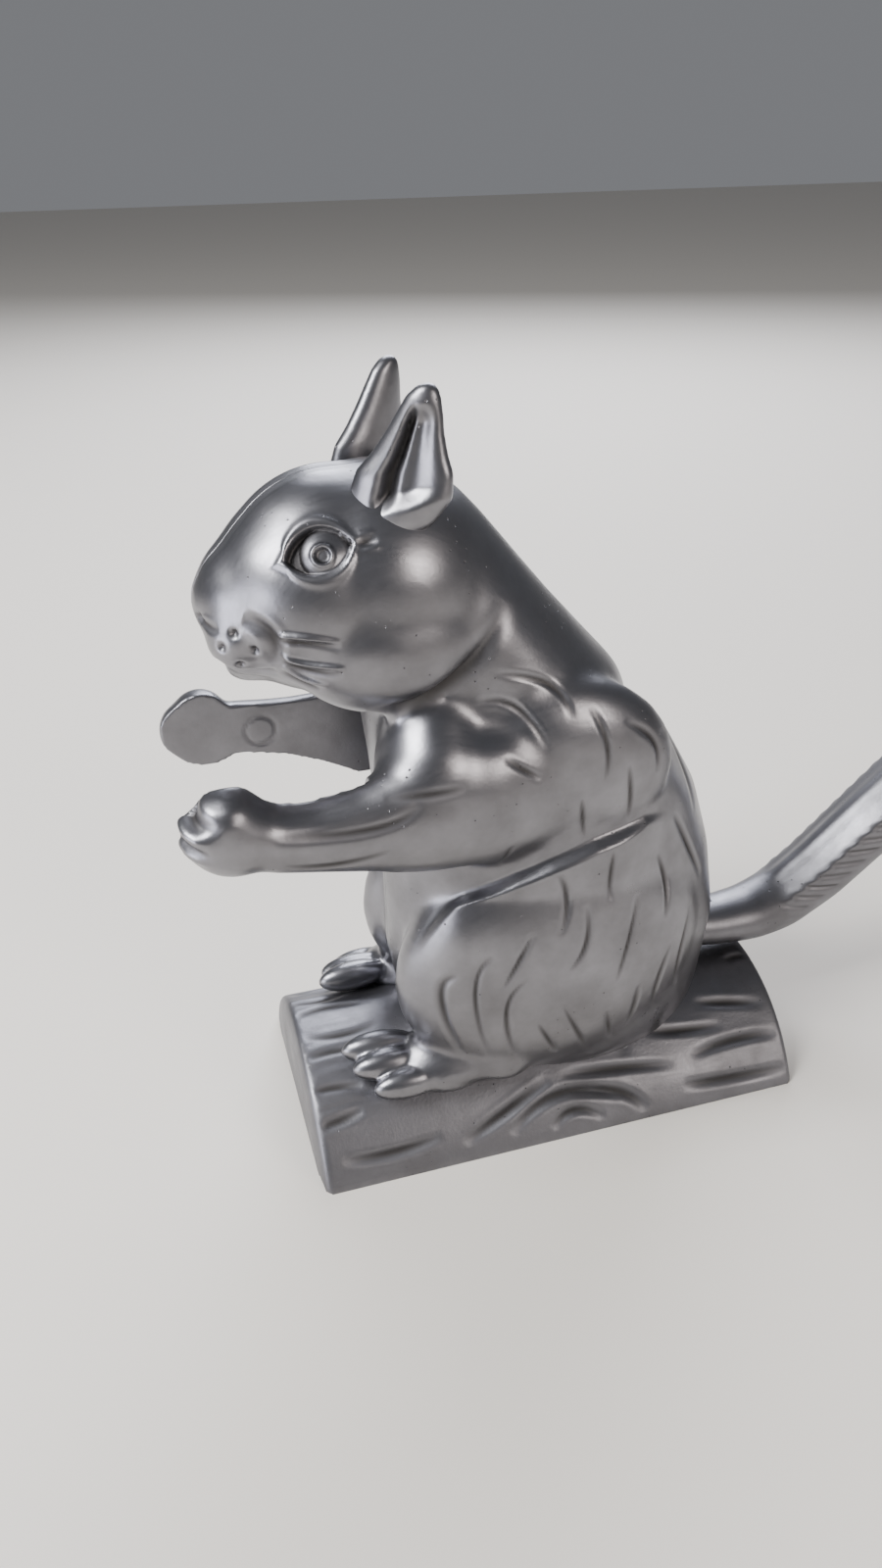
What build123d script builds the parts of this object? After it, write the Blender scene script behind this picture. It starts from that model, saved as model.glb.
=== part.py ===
"""Squirrel nutcracker in cast aluminium.

A hollow figure sits on a hollow log. Its left arm is cast with its left half and stands still.
Its right arm belongs to a lever that turns on an upright bolt inside the body and ends in the tail.
Pushing the tail sideways swings the right arm towards the left one and cracks the nut between them.

Frame: +Z up, the squirrel faces -Y, its left side is +X, and the origin is the centre of the log's
underside. Lengths are millimetres.
"""

from build123d import *
import math
import os

# Log: a half-oval casting, open below.
LOG_LENGTH = 115.4
LOG_HALF_WIDTH = 32.0
LOG_HEIGHT = 20.8
LOG_WALL = 3.2
LOG_EDGE = 1.2

# Body: one wall thickness, and level oval slices as (height, middle y, half length, half width).
WALL = 3.0
TORSO_SLICES = [
    (8.0, 8.0, 33.0, 22.0),
    (22.0, 6.5, 38.0, 27.5),
    (40.0, 6.0, 40.5, 29.8),
    (58.0, 4.5, 39.5, 28.5),
    (74.0, 2.0, 37.0, 26.0),
    (88.0, -2.0, 33.5, 25.0),
    (101.0, -9.0, 27.5, 22.5),
    (113.0, -17.0, 20.5, 18.0),
    (124.0, -24.0, 13.0, 12.0),
]
FOOT_CENTRE = (17.0, -33.0, 18.5)
FOOT_HALF_LENGTH = 16.0
FOOT_RADIUS = 6.0

# Head: an egg turned about a line from the nape to the nose, as (distance along it, radius).
NAPE = (0.0, -10.5, 131.0)
NOSE_DIRECTION = (0.0, -59.0, -9.0)
HEAD_PROFILE = [(0.0, 0.0), (8.0, 15.5), (24.0, 23.3), (40.0, 20.5), (53.0, 12.0), (59.7, 0.0)]

# Ear: level oval slices as (height, y, half width across the head, half depth along it).
EAR_X = 15.0
EAR_SLICES = [
    (139.0, -31.0, 4.6, 6.0),
    (150.0, -31.5, 3.4, 5.6),
    (158.0, -31.0, 2.4, 3.8),
    (164.5, -30.0, 0.9, 1.0),
]

# Arms: half-round bars with flat inner faces, sliced across as (y, middle z, half height, half width).
ARM_FACE_X = 22.0
ARM_SLICES = [
    (-14.0, 86.0, 12.0, 5.5),
    (-22.0, 85.4, 12.0, 7.0),
    (-30.0, 84.8, 11.2, 8.0),
    (-38.0, 85.0, 9.2, 8.0),
    (-46.0, 86.0, 7.4, 7.7),
    (-54.0, 86.8, 6.6, 7.2),
    (-62.0, 88.0, 7.4, 7.5),
    (-69.0, 89.2, 9.3, 8.3),
    (-75.0, 88.6, 7.4, 6.8),
    (-77.3, 88.2, 3.4, 3.2),
]

# Pivot: an M8 bolt standing up through the log, the lever's hub and a bridge in the left half.
PIVOT_Y = 4.0
BOLT_RADIUS = 4.0
RUNNING_GAP = 0.05
BOLT_BOTTOM = 5.0
BOLT_HEAD_HEIGHT = 5.3
BOLT_TOP = 102.5
BOLT_CHAMFER = 0.8
HEX_RADIUS = 7.0
HEX_SIDES = 6
LOG_BOSS_BOTTOM = BOLT_BOTTOM + BOLT_HEAD_HEIGHT
LOG_BOSS_TOP = 23.0
LOG_BOSS_RADIUS = 9.0
WASHER_RADIUS = 8.0
SPRING_WASHER_RADIUS = WASHER_RADIUS - 1.0
WASHER_THICKNESS = 1.5
FACE_GAP = 0.1
HUB_RADIUS = 8.0
HUB_BOTTOM = LOG_BOSS_TOP + WASHER_THICKNESS + FACE_GAP
HUB_TOP = 88.0
BRIDGE_BOTTOM = HUB_TOP + FACE_GAP + WASHER_THICKNESS
BRIDGE_TOP = BRIDGE_BOTTOM + 5.0
BRIDGE_HALF_DEPTH = 7.5
BRIDGE_REACH = 21.5
SPRING_WASHER_THICKNESS = 2.0
NUT_HEIGHT = 4.8

# Lever: a curved chest wall about the pivot carries the arm, and a lug behind the hub takes the tail.
DRUM_RADIUS = 33.3
DRUM_WALL = 3.0
DRUM_BOTTOM = 74.5
DRUM_TOP = 97.5
DRUM_LEADING_DEG = -98.5
DRUM_TRAILING_DEG = -136.0
WEB_BOTTOM = 79.0
WEB_TOP = 87.0
LUG_THICKNESS = 6.0
LUG_FRONT = 10.0
LUG_BACK = 31.0
LUG_BOTTOM = 25.0
LUG_TOP = 35.0
TONGUE_TOP = LUG_TOP - 1.0
TONGUE_FRONT = PIVOT_Y + HUB_RADIUS + 0.5
TAIL_SCREW_Z = 30.0

# Tail: oval slices square to its middle line, as (y, z, lean in degrees, half width, half thickness).
TAIL_SLICES = [
    (40.0, 28.8, 0.0, 6.0, 5.0),
    (48.0, 28.3, 0.0, 7.0, 5.6),
    (58.0, 28.6, 10.0, 7.8, 6.4),
    (67.0, 31.2, 24.0, 8.2, 7.4),
    (76.0, 37.4, 42.0, 8.5, 8.0),
    (90.0, 50.5, 43.0, 9.0, 8.0),
    (107.0, 65.5, 40.0, 10.0, 8.2),
    (124.0, 77.8, 31.0, 11.0, 8.4),
    (140.0, 84.8, 16.0, 11.0, 8.0),
    (153.0, 86.6, 2.0, 8.5, 6.2),
    (160.0, 86.2, -6.0, 3.4, 2.8),
]

# A cut runs this far past the parting plane, so that it leaves no skin.
PAST_THE_PARTING = 1.0

# Windows in the figure's right half for the arm and for the tail's swing.
ARM_WINDOW_X = -3.0
ARM_WINDOW_BACK = -8.5
ARM_WINDOW_BOTTOM = 72.0
ARM_WINDOW_TOP = 100.0
TAIL_WINDOW_FRONT = 24.0
TAIL_WINDOW_TOP = 38.5
TAIL_NOTCH_X = 9.5
TAIL_NOTCH_FRONT = 36.0

# Fasteners.
TAIL_SCREW_YS = (17.0, 26.0)
TAIL_SCREW_RADIUS = 2.0
TAIL_SCREW_HEAD = 3.5
TAIL_SCREW_HEAD_HEIGHT = 2.5
TAIL_NUT_HEIGHT = 3.0
SCREW_RADIUS = 2.0
SCREW_HOLE_RADIUS = 2.1
SCREW_HEAD_RADIUS = 3.8
SCREW_HEAD_HEIGHT = 3.0
SCREW_BOSS_RADIUS = 5.0
SCREW_SEAT = 9.0
# The screw hole stops this far below its boss, and the screw a little sooner.
SCREW_HOLE_CAP = 1.5
SCREW_TIP_CAP = 2.0
LOG_SCREW_BOSS_TOP = LOG_HEIGHT - 6.0
BASE_SCREW_X = 19.0
BASE_SCREW_YS = (-14.0, 17.0)
FRONT_BOSS_TOP = 32.0
REAR_BOSS_TOP = 23.6
DOWEL_RADIUS = 2.0
DOWEL_HALF_LENGTH = 6.0
DOWEL_BOSS_RADIUS = 4.5
DOWEL_BOSS_HALF_LENGTH = 9.0
DOWEL_SPOTS = [(-26.5, 45.0), (-33.0, 144.5), (35.0, 60.0)]

NOSE_AXIS = Axis(NAPE, NOSE_DIRECTION)
HEAD_TURN = 180.0
HEAD_PLANE = Plane(origin=NAPE, x_dir=NOSE_DIRECTION, z_dir=(1, 0, 0))
PIVOT = (0.0, PIVOT_Y)


def across(y):
    """A plane square to Y, with its own x along +X and its own y along +Z."""
    return Plane(origin=(0, y, 0), x_dir=(1, 0, 0), z_dir=(0, -1, 0))


def log_form(wall, mode):
    """The log's half-oval bar, drawn in by a wall thickness all round except below."""
    half_length = LOG_LENGTH / 2 - wall
    with BuildSketch(across(half_length)) as section:
        Ellipse(LOG_HALF_WIDTH - wall, LOG_HEIGHT - wall)
        with Locations((0, -LOG_HEIGHT)):
            Rectangle(3 * LOG_HALF_WIDTH, 2 * LOG_HEIGHT, mode=Mode.SUBTRACT)
    extrude(section.sketch, amount=2 * half_length, mode=mode)


def half_torso(side, wall, mode):
    """One side of the body's stacked oval slices, drawn in by a wall thickness. Side is 1 for left."""
    slices = []
    for height, middle, half_length, half_width in TORSO_SLICES:
        with BuildSketch(Plane.XY.offset(height)) as level:
            with Locations((0, middle)):
                Ellipse(half_width - wall, half_length - wall)
            with Locations((-side * half_width, middle)):
                Rectangle(2 * half_width, 2 * half_length, mode=Mode.SUBTRACT)
        slices.append(level.sketch.face())
    loft(slices, mode=mode)


def half_head(side, wall, mode):
    """One side of the egg-shaped head, drawn in by a wall thickness."""
    length = HEAD_PROFILE[-1][0]
    widest = max(radius for _, radius in HEAD_PROFILE)
    along = 1 - 2 * wall / length
    inward = 1 - wall / widest
    points = [(wall + s * along, radius * inward) for s, radius in HEAD_PROFILE]
    with BuildSketch(HEAD_PLANE) as profile:
        with BuildLine():
            Spline(*points, tangents=[(0, 1), (0, -1)])
            Line(points[-1], points[0])
        make_face()
    revolve(profile.sketch, axis=NOSE_AXIS, revolution_arc=side * HEAD_TURN, mode=mode)


def turned_oval(centre, direction, half_length, radius, mode):
    """An oval solid of revolution about a line through its centre."""
    plane = Plane(origin=centre, x_dir=direction, z_dir=(0, 0, 1))
    with BuildSketch(plane) as profile:
        Ellipse(half_length, radius)
        with Locations((0, -radius)):
            Rectangle(3 * half_length, 2 * radius, mode=Mode.SUBTRACT)
    revolve(profile.sketch, axis=Axis(centre, direction), mode=mode)


def ear_form(side):
    """An upright leaf-shaped ear. Side is 1 for left."""
    slices = []
    for height, y, half_width, half_depth in EAR_SLICES:
        with BuildSketch(Plane.XY.offset(height)) as level:
            with Locations((side * EAR_X, y)):
                Ellipse(half_width, half_depth)
        slices.append(level.sketch.face())
    loft(slices)


def arm_form(side):
    """An arm and paw: half-oval slices outside a flat inner face. Side is 1 for left."""
    slices = []
    for y, middle, half_height, half_width in ARM_SLICES:
        with BuildSketch(across(y)) as section:
            with Locations((side * ARM_FACE_X, middle)):
                Ellipse(half_width, half_height)
            with Locations((side * (ARM_FACE_X - half_width), middle)):
                Rectangle(2 * half_width, 3 * half_height, mode=Mode.SUBTRACT)
        slices.append(section.sketch.face())
    loft(slices)


def post(x, y, bottom, top, radius, mode=Mode.ADD):
    """An upright round post or hole."""
    with BuildSketch(Plane.XY.offset(bottom)) as section:
        with Locations((x, y)):
            Circle(radius)
    extrude(section.sketch, amount=top - bottom, mode=mode)


def cross_rod(start_x, end_x, y, z, radius, mode=Mode.ADD):
    """A round rod or hole along X."""
    with BuildSketch(Plane.YZ.offset(start_x)) as section:
        with Locations((y, z)):
            Circle(radius)
    extrude(section.sketch, amount=end_x - start_x, mode=mode)


def block(low, high, mode=Mode.ADD):
    """A box between two corners."""
    with Locations(low):
        Box(*(b - a for a, b in zip(low, high)), align=(Align.MIN, Align.MIN, Align.MIN), mode=mode)


def ring(bottom, thickness, radius):
    """A flat washer on the pivot bolt."""
    with BuildSketch(Plane.XY.offset(bottom)) as section:
        with Locations(PIVOT):
            Circle(radius)
            Circle(BOLT_RADIUS + RUNNING_GAP, mode=Mode.SUBTRACT)
    extrude(section.sketch, amount=thickness)


def sector(inner, outer):
    """A slice of a ring about the pivot, over the angles that the lever's chest wall covers."""
    start = math.radians(DRUM_LEADING_DEG)
    end = math.radians(DRUM_TRAILING_DEG)
    reach = 2 * outer
    corners = [PIVOT]
    for angle in (start, 0.5 * (start + end), end):
        corners.append((reach * math.cos(angle), PIVOT_Y + reach * math.sin(angle)))
    with Locations(PIVOT):
        Circle(outer)
        if inner:
            Circle(inner, mode=Mode.SUBTRACT)
    with BuildLine() as wedge:
        Polyline(*corners, close=True)
    make_face(wedge.edges(), mode=Mode.INTERSECT)


def tail_form():
    """The tail's oval slices, each square to the tail's middle line."""
    slices = []
    for y, z, lean, half_width, half_thickness in TAIL_SLICES:
        turn = math.radians(lean)
        along = (0, math.cos(turn), math.sin(turn))
        with BuildSketch(Plane(origin=(0, y, z), x_dir=(1, 0, 0), z_dir=along)) as section:
            Ellipse(half_width, half_thickness)
        slices.append(section.sketch.face())
    loft(slices)


def base_screw_places():
    """Each base screw as (x, y, height of the boss that it bites into)."""
    places = []
    for side in (-1, 1):
        for y, top in zip(BASE_SCREW_YS, (FRONT_BOSS_TOP, REAR_BOSS_TOP)):
            places.append((side * BASE_SCREW_X, y, top))
    return places


def half_figure(side):
    """One hollow half of the figure, from the seat to the nose, with its hind foot and ear pocket."""
    x, y, z = FOOT_CENTRE
    half_torso(side, 0, Mode.ADD)
    half_head(side, 0, Mode.ADD)
    turned_oval((side * x, y, z), (0, 1, 0), FOOT_HALF_LENGTH, FOOT_RADIUS, Mode.ADD)
    half_torso(side, WALL, Mode.SUBTRACT)
    half_head(side, WALL, Mode.SUBTRACT)
    add(ears["left_ear" if side > 0 else "right_ear"], mode=Mode.SUBTRACT)


def half_bosses(side):
    """The dowel and screw bosses inside one half of the figure, their holes, and its seat on the log."""
    for y, z in DOWEL_SPOTS:
        cross_rod(0, side * DOWEL_BOSS_HALF_LENGTH, y, z, DOWEL_BOSS_RADIUS)
    places = [place for place in base_screw_places() if place[0] * side > 0]
    for x, y, top in places:
        post(x, y, SCREW_SEAT, top, SCREW_BOSS_RADIUS)
    log_form(0, Mode.SUBTRACT)
    for x, y, top in places:
        post(x, y, SCREW_SEAT, top - SCREW_HOLE_CAP, SCREW_RADIUS + RUNNING_GAP, Mode.SUBTRACT)
    for y, z in DOWEL_SPOTS:
        cross_rod(0, side * DOWEL_HALF_LENGTH, y, z, DOWEL_RADIUS, Mode.SUBTRACT)


# ---- Log ----
with BuildPart() as log_base:
    log_form(0, Mode.ADD)
    fillet(log_base.edges().filter_by(GeomType.ELLIPSE), LOG_EDGE)
    log_form(LOG_WALL, Mode.SUBTRACT)
    post(*PIVOT, LOG_BOSS_BOTTOM, LOG_BOSS_TOP, LOG_BOSS_RADIUS)
    for x, y, _ in base_screw_places():
        post(x, y, SCREW_SEAT, LOG_SCREW_BOSS_TOP, SCREW_BOSS_RADIUS)
    post(*PIVOT, 0, LOG_BOSS_TOP, BOLT_RADIUS + RUNNING_GAP, Mode.SUBTRACT)
    for x, y, _ in base_screw_places():
        post(x, y, 0, LOG_HEIGHT, SCREW_HOLE_RADIUS, Mode.SUBTRACT)
log_base.part.label = "log_base"

# ---- Ears ----
ears = {}
for name, side in (("left_ear", 1), ("right_ear", -1)):
    with BuildPart() as ear:
        ear_form(side)
    ear.part.label = name
    ears[name] = ear.part

# ---- Left half, with the standing arm and the bridge that holds the bolt's top ----
with BuildPart() as left_body_shell:
    half_figure(1)
    arm_form(1)
    half_torso(1, WALL, Mode.SUBTRACT)
    notch_low = (-PAST_THE_PARTING, TAIL_NOTCH_FRONT, 0)
    block(notch_low, (TAIL_NOTCH_X, LOG_LENGTH, TAIL_WINDOW_TOP), Mode.SUBTRACT)
    half_bosses(1)
    near = (0, PIVOT_Y - BRIDGE_HALF_DEPTH, BRIDGE_BOTTOM)
    far = (BRIDGE_REACH, PIVOT_Y + BRIDGE_HALF_DEPTH, BRIDGE_TOP)
    block(near, far)
    post(*PIVOT, BRIDGE_BOTTOM, BRIDGE_TOP, BRIDGE_HALF_DEPTH)
    post(*PIVOT, BRIDGE_BOTTOM, BRIDGE_TOP, BOLT_RADIUS + RUNNING_GAP, Mode.SUBTRACT)
left_body_shell.part.label = "left_body_shell"

# ---- Right half, with the windows for the moving arm and the tail ----
with BuildPart() as right_body_shell:
    half_figure(-1)
    window_low = (-LOG_LENGTH, -LOG_LENGTH, ARM_WINDOW_BOTTOM)
    block(window_low, (ARM_WINDOW_X, ARM_WINDOW_BACK, ARM_WINDOW_TOP), Mode.SUBTRACT)
    tail_high = (PAST_THE_PARTING, LOG_LENGTH, TAIL_WINDOW_TOP)
    block((-LOG_LENGTH, TAIL_WINDOW_FRONT, 0), tail_high, Mode.SUBTRACT)
    half_bosses(-1)
right_body_shell.part.label = "right_body_shell"

# ---- Lever: hub, web, curved chest wall, right arm and the lug for the tail ----
with BuildPart() as right_arm_lever:
    arm_form(-1)
    with BuildSketch(Plane.XY.offset(DRUM_BOTTOM)) as drum:
        sector(DRUM_RADIUS - DRUM_WALL, DRUM_RADIUS)
    extrude(drum.sketch, amount=DRUM_TOP - DRUM_BOTTOM)
    with BuildSketch(Plane.XY.offset(WEB_BOTTOM)) as web:
        sector(0, DRUM_RADIUS - 0.5 * DRUM_WALL)
    extrude(web.sketch, amount=WEB_TOP - WEB_BOTTOM)
    post(*PIVOT, HUB_BOTTOM, HUB_TOP, HUB_RADIUS)
    block((0, LUG_FRONT, LUG_BOTTOM), (LUG_THICKNESS, LUG_BACK, LUG_TOP))
    post(*PIVOT, HUB_BOTTOM, HUB_TOP, BOLT_RADIUS + RUNNING_GAP, Mode.SUBTRACT)
    for y in TAIL_SCREW_YS:
        cross_rod(0, LUG_THICKNESS, y, TAIL_SCREW_Z, TAIL_SCREW_RADIUS + RUNNING_GAP, Mode.SUBTRACT)
right_arm_lever.part.label = "right_arm_lever"

# ---- Tail: the handle, with a flat tongue screwed beside the lug ----
with BuildPart() as tail_handle:
    tail_form()
    tongue_low = (-LUG_THICKNESS, TONGUE_FRONT, LUG_BOTTOM)
    block(tongue_low, (0, TAIL_SLICES[1][0], TONGUE_TOP))
    for y in TAIL_SCREW_YS:
        cross_rod(-LUG_THICKNESS, 0, y, TAIL_SCREW_Z, TAIL_SCREW_RADIUS + RUNNING_GAP, Mode.SUBTRACT)
tail_handle.part.label = "tail_handle"

# ---- Pivot bolt and what is on it ----
with BuildPart() as pivot_bolt:
    with BuildSketch(Plane.XY.offset(BOLT_BOTTOM)) as head:
        with Locations(PIVOT):
            RegularPolygon(HEX_RADIUS, HEX_SIDES)
    extrude(head.sketch, amount=BOLT_HEAD_HEIGHT)
    post(*PIVOT, LOG_BOSS_BOTTOM, BOLT_TOP, BOLT_RADIUS)
    chamfer(pivot_bolt.faces().sort_by(Axis.Z)[-1].edges(), BOLT_CHAMFER)
pivot_bolt.part.label = "pivot_bolt"

with BuildPart() as lower_thrust_washer:
    ring(LOG_BOSS_TOP, WASHER_THICKNESS, WASHER_RADIUS)
lower_thrust_washer.part.label = "lower_thrust_washer"

with BuildPart() as upper_thrust_washer:
    ring(HUB_TOP + FACE_GAP, WASHER_THICKNESS, WASHER_RADIUS)
upper_thrust_washer.part.label = "upper_thrust_washer"

with BuildPart() as spring_washer:
    ring(BRIDGE_TOP, SPRING_WASHER_THICKNESS, SPRING_WASHER_RADIUS)
spring_washer.part.label = "spring_washer"

with BuildPart() as pivot_nut:
    nut_bottom = BRIDGE_TOP + SPRING_WASHER_THICKNESS
    with BuildSketch(Plane.XY.offset(nut_bottom)) as hexagon:
        with Locations(PIVOT):
            RegularPolygon(HEX_RADIUS, HEX_SIDES)
            Circle(BOLT_RADIUS + RUNNING_GAP, mode=Mode.SUBTRACT)
    extrude(hexagon.sketch, amount=NUT_HEIGHT)
pivot_nut.part.label = "pivot_nut"

# ---- Screws and nuts that join the tail to the lever ----
with BuildPart() as tail_screws:
    for y in TAIL_SCREW_YS:
        head_start = LUG_THICKNESS
        cross_rod(head_start, head_start + TAIL_SCREW_HEAD_HEIGHT, y, TAIL_SCREW_Z, TAIL_SCREW_HEAD)
        cross_rod(-LUG_THICKNESS - TAIL_NUT_HEIGHT, head_start, y, TAIL_SCREW_Z, TAIL_SCREW_RADIUS)
tail_screws.part.label = "tail_screws"

with BuildPart() as tail_nuts:
    with BuildSketch(Plane.YZ.offset(-LUG_THICKNESS - TAIL_NUT_HEIGHT)) as nuts:
        with Locations(*((y, TAIL_SCREW_Z) for y in TAIL_SCREW_YS)):
            RegularPolygon(TAIL_SCREW_HEAD, HEX_SIDES)
            Circle(TAIL_SCREW_RADIUS + RUNNING_GAP, mode=Mode.SUBTRACT)
    extrude(nuts.sketch, amount=TAIL_NUT_HEIGHT)
tail_nuts.part.label = "tail_nuts"

# ---- Screws up through the log into the two halves ----
with BuildPart() as base_screws:
    for x, y, top in base_screw_places():
        post(x, y, SCREW_SEAT - SCREW_HEAD_HEIGHT, SCREW_SEAT, SCREW_HEAD_RADIUS)
        post(x, y, SCREW_SEAT, top - SCREW_TIP_CAP, SCREW_RADIUS)
base_screws.part.label = "base_screws"

# ---- Dowels that line up the two halves ----
with BuildPart() as seam_dowels:
    for y, z in DOWEL_SPOTS:
        cross_rod(-DOWEL_HALF_LENGTH, DOWEL_HALF_LENGTH, y, z, DOWEL_RADIUS)
seam_dowels.part.label = "seam_dowels"

SUBPARTS = [
    log_base,
    left_body_shell,
    right_body_shell,
    right_arm_lever,
    tail_handle,
    pivot_bolt,
    lower_thrust_washer,
    upper_thrust_washer,
    spring_washer,
    pivot_nut,
    tail_screws,
    tail_nuts,
    base_screws,
    seam_dowels,
]

os.makedirs("parts", exist_ok=True)
for subpart in SUBPARTS:
    export_step(subpart.part, f"parts/{subpart.part.label}.step")
for label, ear_part in ears.items():
    export_step(ear_part, f"parts/{label}.step")
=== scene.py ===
"""Looks of a squirrel nutcracker: sand-cast aluminium, carved in the pattern, then polished by hand.

The castings are built as clay lumps in millimetres, fused and smoothed, carved with fur, bark and face
lines, hollowed where the real casting is hollow, and scaled to metres at the end.
The squirrel faces -Y, its left side is +X, and +Z is up.
"""

from __future__ import annotations

import logging
import math
from dataclasses import dataclass, field
from enum import Enum
from typing import Iterable, Sequence

import bmesh
import bpy
import numpy as np
from mathutils import Euler, Matrix, Vector


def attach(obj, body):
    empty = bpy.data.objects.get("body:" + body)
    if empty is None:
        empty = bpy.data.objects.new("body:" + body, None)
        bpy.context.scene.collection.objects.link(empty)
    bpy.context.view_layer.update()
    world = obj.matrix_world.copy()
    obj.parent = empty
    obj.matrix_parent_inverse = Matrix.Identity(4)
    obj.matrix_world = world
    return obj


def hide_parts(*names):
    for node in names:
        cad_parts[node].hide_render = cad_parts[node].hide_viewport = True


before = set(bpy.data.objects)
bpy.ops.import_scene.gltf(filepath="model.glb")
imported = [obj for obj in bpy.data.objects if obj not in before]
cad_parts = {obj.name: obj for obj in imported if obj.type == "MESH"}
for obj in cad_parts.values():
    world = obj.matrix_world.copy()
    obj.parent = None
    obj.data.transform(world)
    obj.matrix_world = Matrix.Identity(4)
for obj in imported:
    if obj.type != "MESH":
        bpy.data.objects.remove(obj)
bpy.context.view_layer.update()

MM = 0.001
LOG = logging.getLogger("nutcracker")

Point2 = tuple[float, float]
Point3 = tuple[float, float, float]

# The upright axis that the lever turns on, as (x, y) in millimetres.
PIVOT: Point2 = (0.0, 4.0)
# Radius of the holes that the pivot bolt passes through.
BORE_RADIUS = 4.15
# A distance that is past the outside of every piece, for tools that cut right through.
BEYOND = 120.0
# Half the gap at the parting line between the two body castings.
PARTING = 0.06


# ---------------------------------------------------------------- clay


class Cut(Enum):
    """How one solid changes another."""

    AWAY = "DIFFERENCE"
    KEEP_COMMON = "INTERSECT"
    JOIN = "UNION"


@dataclass(frozen=True)
class Lump:
    """One oval lump of clay.

    Args:
        centre: its middle, in millimetres.
        size: its half sizes along X, Y and Z, in millimetres.
        turn: its turn about X, Y and Z, in degrees.
    """

    centre: Point3
    size: Point3
    turn: Point3 = (0.0, 0.0, 0.0)


@dataclass(frozen=True)
class Stroke:
    """One carved line.

    Args:
        points: two or three points that the line passes, in millimetres in the plane that it is drawn in.
        width: half width of the line, in millimetres.
        depth: how deep it is cut. A negative depth raises a ridge.
        lip: height of the burr beside it, as a share of the depth.
    """

    points: tuple[Point2, ...]
    width: float = 0.6
    depth: float = 0.5
    lip: float = 0.12

    COURSE_POINTS = 17

    def course(self) -> np.ndarray:
        """Bends the line through its points.

        Returns:
            Points along the line, evenly enough spaced, as an array of (a, b).
        """
        pts = np.array(self.points, float)
        if len(pts) == 2:
            pts = np.array([pts[0], pts.mean(axis=0), pts[1]])
        t = np.linspace(0.0, 1.0, self.COURSE_POINTS)[:, None]
        bend = 2.0 * pts[1] - 0.5 * (pts[0] + pts[2])
        return (1 - t) ** 2 * pts[0] + 2 * t * (1 - t) * bend + t**2 * pts[2]


def new_object(name: str, bm: bmesh.types.BMesh) -> bpy.types.Object:
    """Makes an object of a bmesh and frees it.

    Args:
        name: the object's name.
        bm: the mesh being built.

    Returns:
        The new object, linked to the scene.
    """
    mesh = bpy.data.meshes.new(name)
    bm.to_mesh(mesh)
    bm.free()
    obj = bpy.data.objects.new(name, mesh)
    bpy.context.scene.collection.objects.link(obj)
    return obj


def settle(obj: bpy.types.Object) -> bpy.types.Object:
    """Makes an object's modifiers part of its mesh.

    Args:
        obj: the object with live modifiers.

    Returns:
        The same object, with none left.
    """
    graph = bpy.context.evaluated_depsgraph_get()
    done = bpy.data.meshes.new_from_object(obj.evaluated_get(graph), depsgraph=graph)
    obj.modifiers.clear()
    old = obj.data
    obj.data = done
    bpy.data.meshes.remove(old)
    return obj


def add_lumps(bm: bmesh.types.BMesh, lumps: Iterable[Lump]) -> None:
    """Adds oval lumps to a bmesh.

    Args:
        bm: the mesh being built.
        lumps: the lumps to add.
    """
    for lump in lumps:
        turn = Euler([math.radians(a) for a in lump.turn]).to_matrix().to_4x4()
        place = Matrix.Translation(lump.centre) @ turn @ Matrix.Diagonal((*lump.size, 1.0))
        bmesh.ops.create_uvsphere(bm, u_segments=40, v_segments=24, radius=1.0, matrix=place)


def add_limb(bm: bmesh.types.BMesh, stations: Sequence[tuple[Point3, Point3]], spacing: float = 2.0) -> None:
    """Adds a limb as close-set lumps between stations.

    Args:
        bm: the mesh being built.
        stations: the limb's (centre, half sizes) from its root to its tip.
        spacing: distance between lumps, in millimetres.
    """
    for (c0, s0), (c1, s1) in zip(stations, stations[1:]):
        steps = max(1, round((Vector(c1) - Vector(c0)).length / spacing))
        for i in range(steps + 1):
            t = i / steps
            centre = Vector(c0).lerp(Vector(c1), t)
            size = Vector(s0).lerp(Vector(s1), t)
            add_lumps(bm, [Lump(tuple(centre), tuple(size))])


def add_rings(bm: bmesh.types.BMesh, places: Sequence[Matrix], segments: int = 64) -> None:
    """Adds a closed skin through unit circles placed by matrices.

    Args:
        bm: the mesh being built.
        places: where each ring is, and its half sizes.
        segments: corners in each ring.
    """
    rings = []
    for place in places:
        made = bmesh.ops.create_circle(bm, cap_ends=False, radius=1.0, segments=segments, matrix=place)
        verts = made["verts"]
        edges = {e for v in verts for e in v.link_edges}
        rings.append((verts, list(edges)))
    for (_, low), (_, high) in zip(rings, rings[1:]):
        bmesh.ops.bridge_loops(bm, edges=low + high)
    for verts, edges in (rings[0], rings[-1]):
        bmesh.ops.contextual_create(bm, geom=edges)
    bmesh.ops.recalc_face_normals(bm, faces=bm.faces)


def level_ring(height: float, middle: float, half_length: float, half_width: float) -> Matrix:
    """Places a level oval ring, as a matrix for add_rings."""
    return Matrix.Translation((0, middle, height)) @ Matrix.Diagonal((half_width, half_length, 1, 1))


def add_block(bm: bmesh.types.BMesh, low: Point3, high: Point3) -> None:
    """Adds a box.

    Args:
        bm: the mesh being built.
        low: its lowest corner, in millimetres.
        high: its highest corner.
    """
    middle = [(a + b) / 2 for a, b in zip(low, high)]
    size = [b - a for a, b in zip(low, high)]
    place = Matrix.Translation(middle) @ Matrix.Diagonal((*size, 1.0))
    bmesh.ops.create_cube(bm, size=1.0, matrix=place)


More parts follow.
